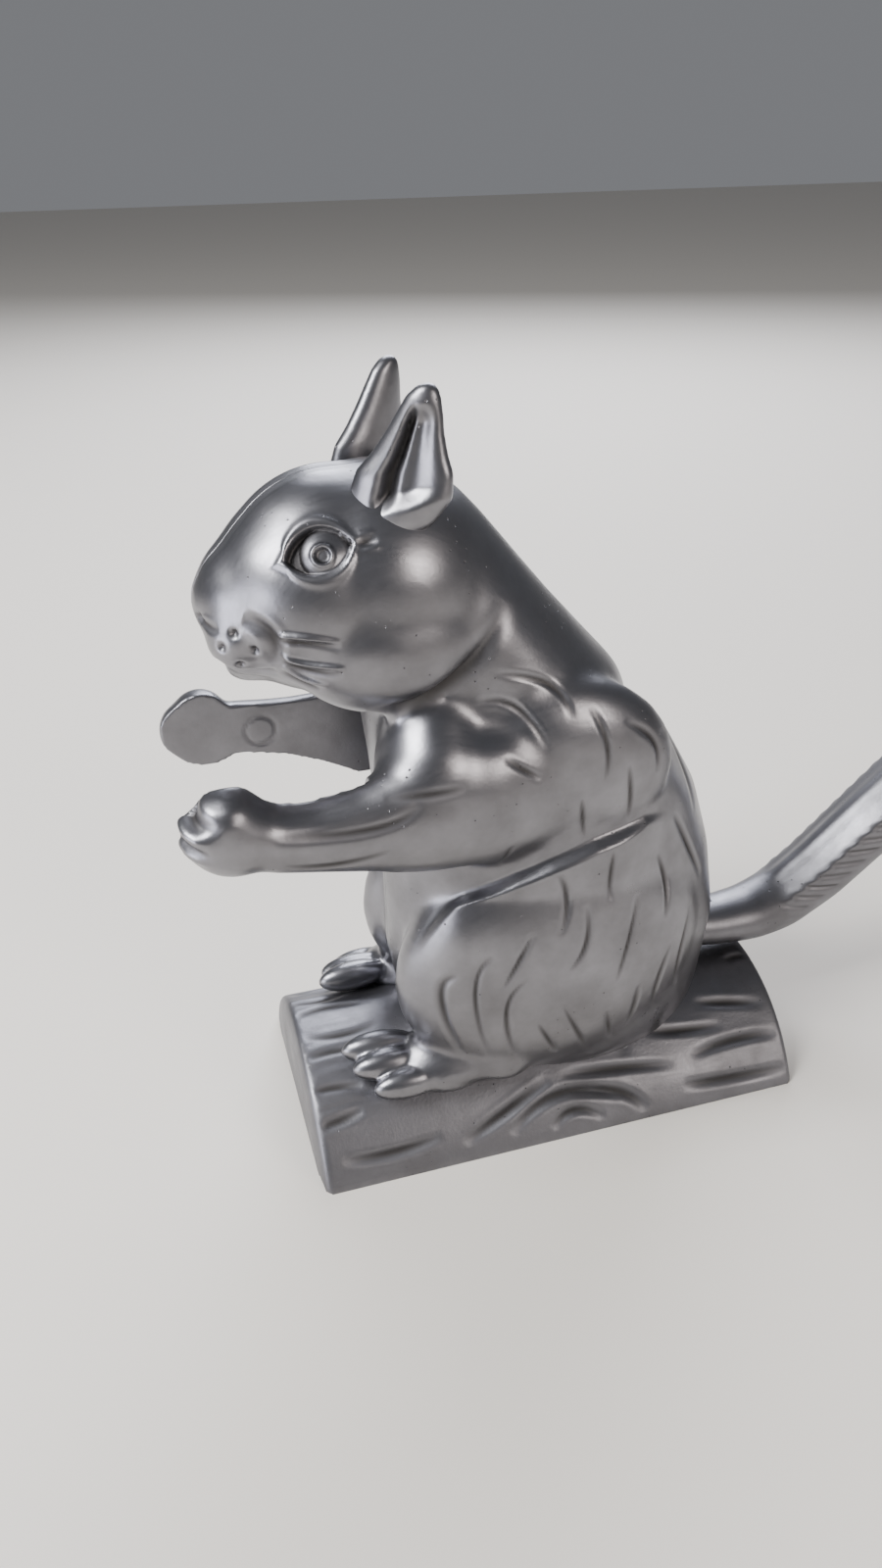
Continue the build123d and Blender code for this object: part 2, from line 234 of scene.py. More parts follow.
def fuse(obj: bpy.types.Object, voxel: float, rounds: int) -> bpy.types.Object:
    """Fuses an object's lumps into one skin and smooths it.

    Args:
        obj: the object of loose lumps.
        voxel: the skin's grain, in millimetres.
        rounds: smoothing rounds.

    Returns:
        The same object, with its new mesh.
    """
    remesh = obj.modifiers.new("fuse", "REMESH")
    remesh.mode = "VOXEL"
    remesh.voxel_size = voxel
    if rounds:
        smooth = obj.modifiers.new("smooth", "SMOOTH")
        smooth.factor = 0.5
        smooth.iterations = rounds
    return settle(obj)


def carve(obj: bpy.types.Object, tool: bpy.types.Object, cut: Cut) -> bpy.types.Object:
    """Cuts an object with a tool, and removes the tool.

    Args:
        obj: what is cut.
        tool: what cuts it.
        cut: how.

    Returns:
        The cut object.
    """
    boolean = obj.modifiers.new("cut", "BOOLEAN")
    boolean.operation = cut.value
    boolean.solver = "MANIFOLD"
    boolean.object = tool
    settle(obj)
    bpy.data.objects.remove(tool)
    return obj


def block_tool(low: Point3, high: Point3) -> bpy.types.Object:
    """Makes a box to cut with.

    Args:
        low: its lowest corner, in millimetres.
        high: its highest corner.

    Returns:
        The box.
    """
    bm = bmesh.new()
    add_block(bm, low, high)
    return new_object("tool", bm)


def add_post(bm: bmesh.types.BMesh, place: Point2, low: float, high: float, radius: float) -> None:
    """Adds an upright rod.

    Args:
        bm: the mesh being built.
        place: its axis, as (x, y) in millimetres.
        low: height of its lower end.
        high: height of its upper end.
        radius: its radius.
    """
    middle = Matrix.Translation((*place, (low + high) / 2))
    bmesh.ops.create_cone(
        bm, cap_ends=True, segments=48, radius1=radius, radius2=radius, depth=high - low, matrix=middle
    )


def post_tool(place: Point2, low: float, high: float, radius: float) -> bpy.types.Object:
    """Makes an upright rod to cut or join with.

    Args:
        place: its axis, as (x, y) in millimetres.
        low: height of its lower end.
        high: height of its upper end.
        radius: its radius.

    Returns:
        The rod.
    """
    bm = bmesh.new()
    add_post(bm, place, low, high, radius)
    return new_object("tool", bm)


@dataclass
class Skin:
    """A mesh's points and normals as arrays, for carving.

    Args:
        mesh: the mesh.
    """

    mesh: bpy.types.Mesh
    co: np.ndarray = field(init=False)
    normal: np.ndarray = field(init=False)
    # How far into a groove or dent each point lies. The finish paints shade by it; the forehead strip also
    # sets it for its own duller tone.
    hollow: np.ndarray = field(init=False)

    # How a stroke is shaped, in half widths: where it ends, and where its burr stands and how sharp that is.
    REACH = 3.5
    BURR_AT = 1.9
    BURR_SHARPNESS = 1.6
    # A smaller power keeps a stroke at full depth nearer to its ends.
    TAPER = 0.7

    def __post_init__(self) -> None:
        """Reads the mesh."""
        self.read()
        self.hollow = np.zeros(len(self.co))

    def read(self) -> None:
        """Reads the points and their normals."""
        count = len(self.mesh.vertices)
        self.co = np.empty(count * 3)
        self.mesh.vertices.foreach_get("co", self.co)
        self.co = self.co.reshape(-1, 3)
        normals = np.empty(count * 3, np.float32)
        self.mesh.vertex_normals.foreach_get("vector", normals)
        self.normal = normals.reshape(-1, 3).astype(float)

    def write(self) -> None:
        """Writes the points, and how hollow each is as the attribute that the finish reads for its painted
        shade.
        """
        self.mesh.vertices.foreach_set("co", self.co.ravel())
        layers = self.mesh.attributes
        layer = layers.get("hollow") or layers.new("hollow", "FLOAT", "POINT")
        layer.data.foreach_set("value", np.clip(self.hollow, 0, 1).astype(np.float32))
        self.mesh.update()

    def push(self, amount: np.ndarray) -> None:
        """Moves each point along its normal by its own amount, in millimetres."""
        self.co += self.normal * amount[:, None]

    def carve(self, strokes: Iterable[Stroke], flat: np.ndarray, where: np.ndarray) -> None:
        """Carves strokes along the normals.

        Args:
            strokes: the lines to carve.
            flat: each point's two coordinates in the plane that the strokes are drawn in.
            where: 0 to 1 for each point, how much of the carving it takes.
        """
        moved = np.zeros(len(self.co))
        for stroke in strokes:
            course = stroke.course()
            margin = self.REACH * stroke.width
            low = course.min(axis=0) - margin
            high = course.max(axis=0) + margin
            near = np.flatnonzero((where > 0) & np.all(flat > low, axis=1) & np.all(flat < high, axis=1))
            if not len(near):
                continue
            spots = flat[near]
            start = course[:-1]
            step = course[1:] - start
            offset = spots[:, None, :] - start[None]
            share = np.clip((offset * step).sum(2) / (step**2).sum(1), 0, 1)
            gap = np.linalg.norm(offset - share[..., None] * step, axis=2)
            nearest = gap.argmin(axis=1)
            rows = np.arange(len(near))
            across = gap[rows, nearest] / stroke.width
            along = (nearest + share[rows, nearest]) / len(step)
            taper = np.sin(np.pi * np.clip(along, 0.0, 1.0)) ** self.TAPER
            groove = np.exp(-(across**2))
            burr = stroke.lip * np.exp(-((across - self.BURR_AT) ** 2) * self.BURR_SHARPNESS)
            weight = taper * where[near]
            moved[near] += stroke.depth * weight * (burr - groove)
            # A groove is marked for the painted shade that the finish puts in it.
            if stroke.depth > 0:
                self.hollow[near] = np.maximum(self.hollow[near], weight * groove)
        self.push(moved)

    def dent(self, centre: Point3, radius: float, depth: float) -> None:
        """Presses a round dent, or raises a bump where the depth is negative.

        Args:
            centre: its middle, in millimetres.
            radius: its reach, in millimetres.
            depth: how far its middle moves in.
        """
        gap = np.linalg.norm(self.co - np.array(centre), axis=1) / radius
        amount = np.exp(-2.5 * gap**2) * (gap < 1.6)
        self.push(-depth * amount)
        # A dent is marked for the painted shade that the finish puts in it.
        if depth > 0:
            self.hollow = np.maximum(self.hollow, 0.8 * amount)


def finish_piece(
    obj: bpy.types.Object, name: str, body: str, nodes: Sequence[str]
) -> bpy.types.Object:
    """Scales a piece to metres, shades it smooth and gives it to its body.

    Args:
        obj: the piece, in millimetres.
        name: its name.
        body: the moving body that it rides on.
        nodes: the plain solids that it stands for.

    Returns:
        The finished piece.
    """
    obj.name = name
    obj.data.name = name
    obj.data.transform(Matrix.Scale(MM, 4))
    obj.data.polygons.foreach_set("use_smooth", [True] * len(obj.data.polygons))
    obj.data.update()
    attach(obj, body)
    if nodes:
        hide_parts(*nodes)
    LOG.info("%s: %d faces", name, len(obj.data.polygons))
    return obj


# ---------------------------------------------------------------- finishes


def linear(code: str) -> tuple[float, float, float, float]:
    """Turns an sRGB hex colour into a linear one.

    Args:
        code: the colour, such as "#8c8c90".

    Returns:
        Linear red, green and blue, with full alpha.
    """
    parts = [int(code[i : i + 2], 16) / 255 for i in (1, 3, 5)]
    red, green, blue = (c / 12.92 if c <= 0.04045 else ((c + 0.055) / 1.055) ** 2.4 for c in parts)
    return (red, green, blue, 1.0)


def node(
    tree: bpy.types.NodeTree, kind: str, links: dict | None = None, **settings: object
) -> bpy.types.Node:
    """Adds a node with its settings and links.

    Args:
        tree: the material's node tree.
        kind: the node's type.
        links: input name or index to the output socket that feeds it, or to a plain value.
        settings: the node's own properties.

    Returns:
        The new node.
    """
    made = tree.nodes.new(kind)
    for key, value in settings.items():
        setattr(made, key, value)
    for key, value in (links or {}).items():
        if isinstance(value, bpy.types.NodeSocket):
            tree.links.new(value, made.inputs[key])
        else:
            made.inputs[key].default_value = value
    return made


@dataclass(frozen=True)
class CastAluminium:
    """Aluminium cast in a mould and finished by hand.

    A grey metal with soft, slightly blurred reflections that vary in patches, because the polishing wheel
    bore harder in some places. Painted shade darkens the carved lines, the pits, the eye sockets and other
    dents, where the hollow attribute marks them, and the filed forehead strip takes a little of the same
    colour as its own duller tone. A few pits and fine scratches are left.

    Args:
        name: what the finish is.
        colour: the bare metal.
        shade_and_tone: painted shade for the hollows and pits, and the real darker tone of the strip and the
            less polished patches.
        smooth: roughness where the wheel reached.
        dull: roughness where it didn't.
        grain: depth of the casting's orange-peel grain, in millimetres.
        scratch: depth of the polishing scratches, in millimetres.
        pit: depth of the pits, in millimetres.
    """

    name: str
    colour: str
    shade_and_tone: str
    smooth: float
    dull: float
    grain: float
    scratch: float
    pit: float

    # Real sizes. The scratches are finer on the real metal and are drawn this coarse so that they show.
    GRAIN_MM = 0.7
    PATCH_MM = 14.0
    PIT_MM = 1.7
    SCRATCH_MM = 0.5
    # Scratches run long one way: their pattern is squeezed along two axes, and turned off the piece's own.
    SCRATCH_TURN = (0.5, 0.3, 0.2)
    SCRATCH_SQUEEZE = (1.0, 0.06, 0.25)
    # The range of the patch noise that is used, and the value past which pits appear.
    PATCH_RANGE = (0.3, 0.7)
    PITS_ABOVE = 0.56
    # How far a pit reaches, as a share of the distance between pits.
    PIT_EDGE = (0.05, 0.14)
    # How much of the second colour the hollows and the patches take: painted shade in the hollows and pits
    # (with the filed forehead strip's own duller tone), and the metal's real darker tone in the patches.
    HOLLOW_SHADE_AND_TONE = 0.85
    PATCH_STAIN = 0.35
    # Roughness that scratches and hollows add.
    SCRATCH_BLUR = 0.12
    HOLLOW_BLUR = 0.25

    def material(self) -> bpy.types.Material:
        """Builds the node material.

        Returns:
            The material.
        """
        made = bpy.data.materials.new(self.name)
        made.use_nodes = True
        tree = made.node_tree
        tree.nodes.clear()
        spot = node(tree, "ShaderNodeTexCoord").outputs["Object"]
        hollow = node(tree, "ShaderNodeAttribute", attribute_name="hollow").outputs["Fac"]
        low, high = self.PATCH_RANGE

        # Patches that the wheel bore on more or less, and the casting's own grain.
        patch = node(
            tree,
            "ShaderNodeTexNoise",
            {"Vector": spot, "Scale": 1 / (self.PATCH_MM * MM), "Detail": 4.0, "Roughness": 0.6},
        ).outputs["Fac"]
        grain = node(
            tree, "ShaderNodeTexNoise", {"Vector": spot, "Scale": 1 / (self.GRAIN_MM * MM), "Detail": 3.0}
        ).outputs["Fac"]

        # Pits, only where a patch allows them.
        cells = node(
            tree, "ShaderNodeTexVoronoi", {"Vector": spot, "Scale": 1 / (self.PIT_MM * MM), "Randomness": 1.0}
        ).outputs["Distance"]
        near, far = self.PIT_EDGE
        pit = node(
            tree,
            "ShaderNodeMapRange",
            {"Value": cells, "From Min": near, "From Max": far, "To Min": 1.0, "To Max": 0.0},
        ).outputs["Result"]
        rare = node(
            tree, "ShaderNodeMath", {0: patch, 1: self.PITS_ABOVE}, operation="GREATER_THAN"
        ).outputs[0]
        pitted = node(tree, "ShaderNodeMath", {0: pit, 1: rare}, operation="MULTIPLY").outputs[0]

        # Polishing scratches.
        stretched = node(
            tree,
            "ShaderNodeMapping",
            {"Vector": spot, "Rotation": self.SCRATCH_TURN, "Scale": self.SCRATCH_SQUEEZE},
        ).outputs[0]
        lines = node(
            tree,
            "ShaderNodeTexNoise",
            {"Vector": stretched, "Scale": 1 / (self.SCRATCH_MM * MM), "Detail": 5.0, "Roughness": 0.7},
        ).outputs["Fac"]

        # Colour: painted shade in the hollows and pits, and a little real darker tone in the patches.
        # The hollow and pit mask sets where shade is painted; it also roughens them.
        hollows_and_pits = node(tree, "ShaderNodeMath", {0: hollow, 1: pitted}, operation="MAXIMUM").outputs[0]
        tone = node(
            tree,
            "ShaderNodeMapRange",
            {"Value": patch, "From Min": low, "From Max": high, "To Min": 0.0, "To Max": self.PATCH_STAIN},
        ).outputs["Result"]
        hollow_shade_and_tone = node(
            tree, "ShaderNodeMath", {0: hollows_and_pits, 1: self.HOLLOW_SHADE_AND_TONE}, operation="MULTIPLY"
        ).outputs[0]
        both = node(tree, "ShaderNodeMath", {0: hollow_shade_and_tone, 1: tone}, operation="MAXIMUM").outputs[0]
        colour = node(
            tree,
            "ShaderNodeMix",
            {"Factor": both, "A": linear(self.colour), "B": linear(self.shade_and_tone)},
            data_type="RGBA",
        ).outputs["Result"]

        # Gloss: worse in the patches, the scratches and the hollows.
        shine = node(
            tree,
            "ShaderNodeMapRange",
            {"Value": patch, "From Min": low, "From Max": high, "To Min": self.smooth, "To Max": self.dull},
        ).outputs["Result"]
        worn = node(
            tree, "ShaderNodeMath", {0: lines, 1: self.SCRATCH_BLUR, 2: shine}, operation="MULTIPLY_ADD"
        ).outputs[0]
        rough = node(
            tree, "ShaderNodeMath", {0: hollows_and_pits, 1: self.HOLLOW_BLUR, 2: worn}, operation="MULTIPLY_ADD"
        ).outputs[0]

        # Relief: grain, then scratches, then pits.
        bump = node(
            tree, "ShaderNodeBump", {"Height": grain, "Distance": self.grain * MM, "Strength": 1.0}
        ).outputs[0]
        bump = node(
            tree,
            "ShaderNodeBump",
            {"Height": lines, "Distance": self.scratch * MM, "Strength": 1.0, "Normal": bump},
        ).outputs[0]
        bump = node(
            tree,
            "ShaderNodeBump",
            {"Height": pitted, "Distance": self.pit * MM, "Strength": 1.0, "Normal": bump},
            invert=True,
        ).outputs[0]
        shader = node(
            tree,
            "ShaderNodeBsdfPrincipled",
            {"Base Color": colour, "Metallic": 1.0, "Roughness": rough, "Normal": bump},
        )
        node(tree, "ShaderNodeOutputMaterial", {"Surface": shader.outputs[0]})
        return made


@dataclass(frozen=True)
class ZincSteel:
    """Steel plated with bright zinc: the bolt, nuts, screws, washers and dowels.

    A lighter, cooler and more even metal than the castings, with a soft shine.

    Args:
        name: what the finish is.
        colour: the plating.
        dullness: its roughness.
    """

    name: str = "zinc plated steel"
    colour: str = "#b4b6ba"
    dullness: float = 0.32

    def material(self) -> bpy.types.Material:
        """Builds the node material.

        Returns:
            The material.
        """
        made = bpy.data.materials.new(self.name)
        made.use_nodes = True
        shader = made.node_tree.nodes["Principled BSDF"]
        shader.inputs["Base Color"].default_value = linear(self.colour)
        shader.inputs["Metallic"].default_value = 1.0
        shader.inputs["Roughness"].default_value = self.dullness
        return made


# The plain solids that keep their own meshes.
FASTENERS = (
    "pivot_bolt",
    "lower_thrust_washer",
    "upper_thrust_washer",
    "spring_washer",
    "pivot_nut",
    "base_screws",
    "seam_dowels",
    "tail_screws",
    "tail_nuts",
)


# ---------------------------------------------------------------- squirrel

# Locks of fur on the flank, the thigh, the shoulder and the arm, as (y, z).
FUR = [
    Stroke(((-25, 49), (-28.6, 41.8), (-23.5, 24.5)), 0.7, 0.65),
    Stroke(((-18, 53.5), (-22, 44.5), (-18.5, 25)), 0.62, 0.54),
    Stroke(((-9.7, 58), (-16.6, 45)), 0.62, 0.5),
    Stroke(((-10.9, 47), (-15.5, 38.5), (-11.5, 21.5)), 0.62, 0.54),
    Stroke(((-4.6, 70.5), (-2.2, 64), (-4.2, 56.5)), 0.62, 0.58),
    Stroke(((2, 62), (1.6, 53.5), (-2.4, 47.5)), 0.62, 0.5),
    Stroke(((7.8, 74), (7.4, 61.5)), 0.62, 0.54),
    Stroke(((14.3, 61), (9, 41)), 0.62, 0.43),
    Stroke(((19.6, 68), (22.3, 60.5), (21.3, 53)), 0.62, 0.5),
    Stroke(((-14.7, 80), (-15.6, 73)), 0.55, 0.36),
    Stroke(((-3.5, 39), (5.4, 19.5)), 0.62, 0.5),
    Stroke(((-8.6, 34.5), (-2.4, 21.5)), 0.62, 0.43),
    Stroke(((7.8, 33), (11, 21)), 0.62, 0.47),
    Stroke(((15.4, 38), (15.2, 24)), 0.62, 0.47),
    Stroke(((25, 74.5), (35, 54.5)), 0.62, 0.5),
    Stroke(((9.2, 101.5), (16, 96), (17, 89)), 0.62, 0.54),
    Stroke(((9.9, 93), (12, 78.5)), 0.62, 0.43),
    Stroke(((2, 105.5), (5, 98), (4.5, 90)), 0.62, 0.5),
    Stroke(((17.5, 97), (28, 88), (33, 70)), 0.62, 0.43),
    Stroke(((0, 87.5), (2, 76.5)), 0.55, 0.36),
    Stroke(((-16.5, 113.6), (-5.4, 110), (-2, 104)), 0.62, 0.43),
    Stroke(((-19.5, 108), (-12, 106.5), (-7, 99)), 0.62, 0.43),
    Stroke(((-16, 99), (-8.7, 93.6)), 0.62, 0.43),
    Stroke(((-39.3, 95), (-24, 95.5)), 0.86, 0.25),
    Stroke(((-60, 91.5), (-42, 90.5), (-33, 94)), 0.86, 0.4),
    Stroke(((-60, 86), (-50, 84), (-38, 86)), 0.78, 0.25),
    Stroke(((30, 52), (27, 40), (29, 28)), 0.62, 0.43),
    Stroke(((24, 46), (21, 36), (22, 26)), 0.62, 0.43),
]

# The soft folds under the jaw, and the one where the figure meets the log, as (y, z).
CREASES = [
    Stroke(((-40, 108.5), (-25, 112), (-13, 126)), 2.0, 1.1, 0.0),
    Stroke(((-38, 109), (-25, 112.5), (-14, 124)), 0.8, 0.6, 0.0),
    Stroke(((-28, 20), (-4, 12.5), (26, 15)), 1.6, 0.8, 0.0),
]

# The muzzle's edge, the mouth, the whiskers, the corner of the eye and the nostril, as (y, z).
FACE = [
    Stroke(((-60, 127.5), (-56, 124.6), (-55.4, 118.5)), 1.2, 1.1, 0.2),
    Stroke(((-65.5, 118.4), (-61, 116), (-55, 116.8)), 0.8, 1.5, 0.2),
    Stroke(((-55, 124.9), (-51.6, 125.2), (-44.5, 123.8)), 0.5, -0.8, 0.0),
    Stroke(((-54.6, 121.4), (-51, 119.8), (-43.9, 119)), 0.5, -0.8, 0.0),
    Stroke(((-54.2, 118.6), (-51, 116.4), (-47, 115.2)), 0.5, -0.7, 0.0),
    Stroke(((-55, 123.4), (-51.6, 123.8), (-44.5, 122.6)), 0.6, 0.4, 0.0),
    Stroke(((-54.6, 120), (-51, 118.2), (-44.5, 117.6)), 0.6, 0.4, 0.0),
    Stroke(((-54.4, 117.3), (-51, 115), (-48, 114)), 0.6, 0.35, 0.0),
    Stroke(((-40, 140), (-38.4, 140), (-36.4, 140.4)), 0.6, 0.5, 0.6),
    Stroke(((-67.6, 125.6), (-66.4, 124.6), (-64, 124.8)), 0.7, 0.5, 0.2),
]

# The gaps between the front paw's fingers, as (x, z).
CLEFTS = [
    Stroke(((17, 97.5), (24, 96.6), (31.5, 94.6)), 1.1, 1.5, 0.2),
    Stroke(((17, 92.6), (24, 92), (31.5, 90)), 1.1, 1.5, 0.2),
]

# The round pits that the whiskers grow from, on the left side.
WHISKER_PITS = [(11.9, -61.7, 124.4), (11.0, -64.0, 121.7), (13.5, -58.6, 121.6), (11.8, -61.1, 118.5)]


def smoothly(value: np.ndarray) -> np.ndarray:
    """Rises gently from 0 at 0 to 1 at 1."""
    t = np.clip(value, 0.0, 1.0)
    return t * t * (3.0 - 2.0 * t)


def unit(vector: np.ndarray) -> np.ndarray:
    """The same direction at length 1."""
    return vector / np.linalg.norm(vector)


@dataclass(frozen=True)
class Eye:
    """A carved eye: a sunk almond with a ball, a ringed iris and a lid round it.

    Args:
        centre: the left eye's middle, in millimetres.
        front: its front corner.
        rear: its rear corner.
        half_length: half its length.
        upper: height of the upper lid's edge over the middle.
        lower: depth of the lower lid's edge under the middle.
        sunk: how deep the almond is cut.
        ball_radius: radius of the ball.
        ball_height: how far the ball stands out of the almond.
        iris_radius: radius of the ring round the iris.
    """

    centre: Point3 = (16.2, -46.6, 139.2)
    front: Point3 = (15.4, -53.0, 136.2)
    rear: Point3 = (16.5, -40.9, 138.8)
    half_length: float = 5.9
    upper: float = 4.6
    lower: float = 4.3
    sunk: float = 1.7
    ball_radius: float = 4.6
    ball_height: float = 2.1
    iris_radius: float = 1.8

    # Skin farther than this from the middle is left alone.
    REACH = 12.0
    # Middles of the ball and of the iris, along and up from the eye's middle.
    BALL_OFF = (1.0, -0.5)
    IRIS_OFF = (0.5, -0.9)

    def carve(self, skin: Skin) -> None:
        """Carves the eye on both sides of the head.

        Args:
            skin: the head's skin.
        """
        side = np.where(skin.co[:, 0] < 0, -1.0, 1.0)
        flip = np.stack([side, np.ones_like(side), np.ones_like(side)], 1)
        offset = skin.co * flip - np.array(self.centre)
        near = np.flatnonzero(np.linalg.norm(offset, axis=1) < self.REACH)
        out = unit((skin.normal[near] * flip[near]).mean(axis=0))
        along = unit(np.array(self.rear) - np.array(self.front))
        up = unit(np.cross(out, along))
        u = offset[near] @ along
        v = offset[near] @ up
        bow = np.clip(1.0 - (u / self.half_length) ** 2, 0.0, 1.0) ** 0.7
        inside = np.minimum(self.upper * bow - v, v + self.lower * bow)
        inside = np.where(np.abs(u) > self.half_length, self.half_length - np.abs(u) - np.abs(v), inside)
        from_ball = np.hypot(u - self.BALL_OFF[0], v - self.BALL_OFF[1]) / self.ball_radius
        from_iris = np.hypot(u - self.IRIS_OFF[0], v - self.IRIS_OFF[1])
        open_part = smoothly(inside / 0.8)
        amount = -self.sunk * open_part
        amount += self.ball_height * np.sqrt(np.clip(1 - from_ball**2, 0, 1)) * open_part
        amount += 0.5 * np.exp(-(((from_iris - self.iris_radius) / 0.38) ** 2)) * open_part
        amount -= 0.7 * (1 - smoothly((from_iris - 0.9) / 0.6)) * open_part
        amount += 0.5 * np.exp(-(((inside + 1.0) / 1.1) ** 2)) * (inside < 0.8)
        # Painted shade in the socket round the ball, and in the pupil's dent.
        socket_shade = open_part * (1 - smoothly(1.25 * (1 - from_ball) / 0.5))
        skin.hollow[near] = np.maximum(skin.hollow[near], 0.95 * socket_shade)
        skin.hollow[near] = np.maximum(skin.hollow[near], 0.5 * open_part * (from_iris < 1.3))
        skin.co[near] += amount[:, None] * out * flip[near]


@dataclass
class Squirrel:
    """The standing figure: torso, haunches, head, left arm and feet, parted down its middle.

    Args:
        wall: thickness of the casting, in millimetres.
        torso: level rings of the torso, each as (height, middle along Y, half length, half width).
        nape: ovals from the back of the head to the back, each as (centre, half sizes).
        arm: ovals of the left arm from the shoulder to the wrist, in the same way.
        inner_face: X of the left arm's flat inner face.
        window: the opening that the moving arm swings in, as its lowest and highest corner.
        tail_slot: room for the tail's root, as (front Y on the right, front Y on the left, top).
        lever_room: room for the lever's chest wall, as (low, high, radius about the pivot).
    """

    wall: float = 3.0
    torso: tuple = (
        (8.0, 8.0, 32.0, 21.0),
        (22.0, 6.0, 37.0, 24.5),
        (40.0, 5.5, 39.5, 25.5),
        (58.0, 4.0, 38.0, 25.0),
        (74.0, 1.0, 36.0, 24.5),
        (88.0, -3.5, 32.5, 24.0),
        (101.0, -11.0, 26.5, 22.0),
        (112.0, -18.0, 21.0, 18.5),
        (124.0, -24.0, 13.0, 13.0),
    )
    nape: tuple = (
        ((0.0, -26.0, 128.0), (18.0, 17.0, 17.0)),
        ((0.0, -14.0, 113.0), (20.0, 18.5, 15.0)),
        ((0.0, -4.0, 99.0), (22.5, 22.0, 14.0)),
    )
    arm: tuple = (
        ((18.0, -4.0, 88.0), (8.0, 12.0, 15.0)),
        ((21.0, -18.0, 88.0), (8.5, 10.0, 14.5)),
        ((22.3, -31.0, 87.5), (8.0, 8.0, 12.6)),
        ((22.6, -42.0, 87.0), (7.6, 6.0, 9.2)),
        ((22.6, -52.0, 87.2), (7.3, 6.0, 7.4)),
        ((22.6, -60.0, 88.2), (7.3, 5.0, 6.9)),
    )
    inner_face: float = 22.0
    window: tuple[Point3, Point3] = ((-BEYOND, -BEYOND, 72.0), (-3.0, -8.5, 100.0))
    tail_slot: Point3 = (24.0, 36.0, 38.5)
    lever_room: Point3 = (73.8, 98.2, 33.8)

    # The ledge over each thigh: its height at each Y, rising to the back.
    LEDGE_Y = (-40, -31, -22, -12, -5, 4, 16, 30)
    LEDGE_Z = (50, 57, 64, 69.5, 72.5, 75.5, 77.5, 74)
    # Each toe as (distance from the middle, Y, height, turn outwards).
    TOES = ((12.8, -40.0, 22.5, -3), (17.3, -38.6, 21.0, 0), (21.8, -35.0, 18.6, 3))

    def body_lumps(self) -> list[Lump]:
        """Shapes the haunches, feet and shoulders.

        Returns:
            Their lumps, for both sides.
        """
        lumps = []
        for side in (-1, 1):
            lumps += [
                Lump((side * 15.0, -1.0, 42.0), (14.5, 35.5, 30.0), (12.0, 0.0, 0.0)),
                Lump((side * 17.5, 2.0, 92.0), (9.0, 22.0, 17.0), (-25.0, 0.0, 0.0)),
                Lump((side * 17.5, -25.5, 19.6), (8.4, 13.0, 6.2), (0.0, side * 18.0, 0.0)),
                Lump((side * 18.5, -14.0, 19.0), (7.6, 9.0, 6.6)),
            ]
        return lumps

    def chest_lumps(self) -> list[Lump]:
        """Fills the corner between the left arm and the chest.

        Returns:
            The lumps.
        """
        return [
            Lump((15.0, -27.0, 94.0), (11.5, 11.5, 15.0), (-6.0, 0, 0)),
            Lump((20.0, -27.0, 90.0), (9.5, 12.0, 15.0)),
            Lump((22.0, -35.0, 87.0), (8.0, 7.0, 11.5), (-14.0, 0, 0)),
        ]

    def toe_lumps(self) -> list[Lump]:
        """Shapes three long toes on each hind foot.

        Returns:
            Their lumps, for both sides.
        """
        lumps = []
        for side in (-1, 1):
            for across, ahead, height, fan in self.TOES:
                lumps.append(Lump((side * across, ahead, height), (3.2, 8.6, 3.7), (0.0, 0.0, side * fan)))
        return lumps

    def head_lumps(self) -> list[Lump]:
        """Shapes the head, from the cranium to the chin.

        Returns:
            Its lumps.
        """
        lumps = [
            Lump((0, -33.0, 127.0), (21.5, 23.0, 22.5)),
            Lump((0, -44.0, 127.0), (20.5, 20.5, 19.5), (9.0, 0, 0)),
            Lump((0, -43.0, 132.5), (17.0, 19.0, 16.4), (24.0, 0, 0)),
            Lump((0, -53.5, 126.0), (14.5, 14.0, 13.5), (14.0, 0, 0)),
            Lump((0, -60.5, 126.3), (8.4, 7.6, 7.4)),
            Lump((0, -54.5, 115.6), (7.5, 9.5, 4.8), (20.0, 0, 0)),
        ]
        for side in (-1, 1):
            lumps += [
                Lump((side * 11.5, -34.0, 119.0), (11.5, 19.0, 13.5)),
                Lump((side * 6.0, -59.3, 121.3), (7.0, 7.4, 6.2)),
            ]
        return lumps

    @staticmethod
    def paw_lumps(side: int) -> list[Lump]:
        """Shapes a closed paw.

        Args:
            side: 1 for the left paw, which is a little larger and higher, -1 for the right.

        Returns:
            Its lumps.
        """
        lift = 2.4 if side > 0 else 0.0
        grow = 1.0 if side > 0 else 0.92
        return [
            Lump((side * 22.8, -66.8, 88.0 + lift), (8.2, 9.2 * grow, 8.2 * grow)),
            Lump((side * 22.8, -67.8, 92.8 + lift), (7.6, 6.4 * grow, 5.2 * grow), (14.0, 0, 0)),
            Lump((side * 22.8, -71.0, 89.2 + lift), (7.4, 6.0 * grow, 6.6 * grow)),
        ]

    def clay(self) -> bpy.types.Object:
        """Shapes the whole figure before it is carved, with its left arm.

        Returns:
            The fused figure.
        """
        bm = bmesh.new()
        add_rings(bm, [level_ring(*ring) for ring in self.torso])
        add_lumps(bm, self.body_lumps() + self.head_lumps())
        add_limb(bm, self.nape)
        add_limb(bm, self.arm)
        add_lumps(bm, self.paw_lumps(1) + self.chest_lumps())
        figure = fuse(new_object("figure", bm), 1.2, 16)
        rough = bmesh.new()
        rough.from_mesh(figure.data)
        add_lumps(rough, self.toe_lumps())
        rough.to_mesh(figure.data)
        rough.free()
        # The arm's inner face is flat, where the nut is pressed.
        carve(figure, block_tool((4.0, -90.0, 60.0), (self.inner_face, -41.0, 106.0)), Cut.AWAY)
        return fuse(figure, 0.55, 5)

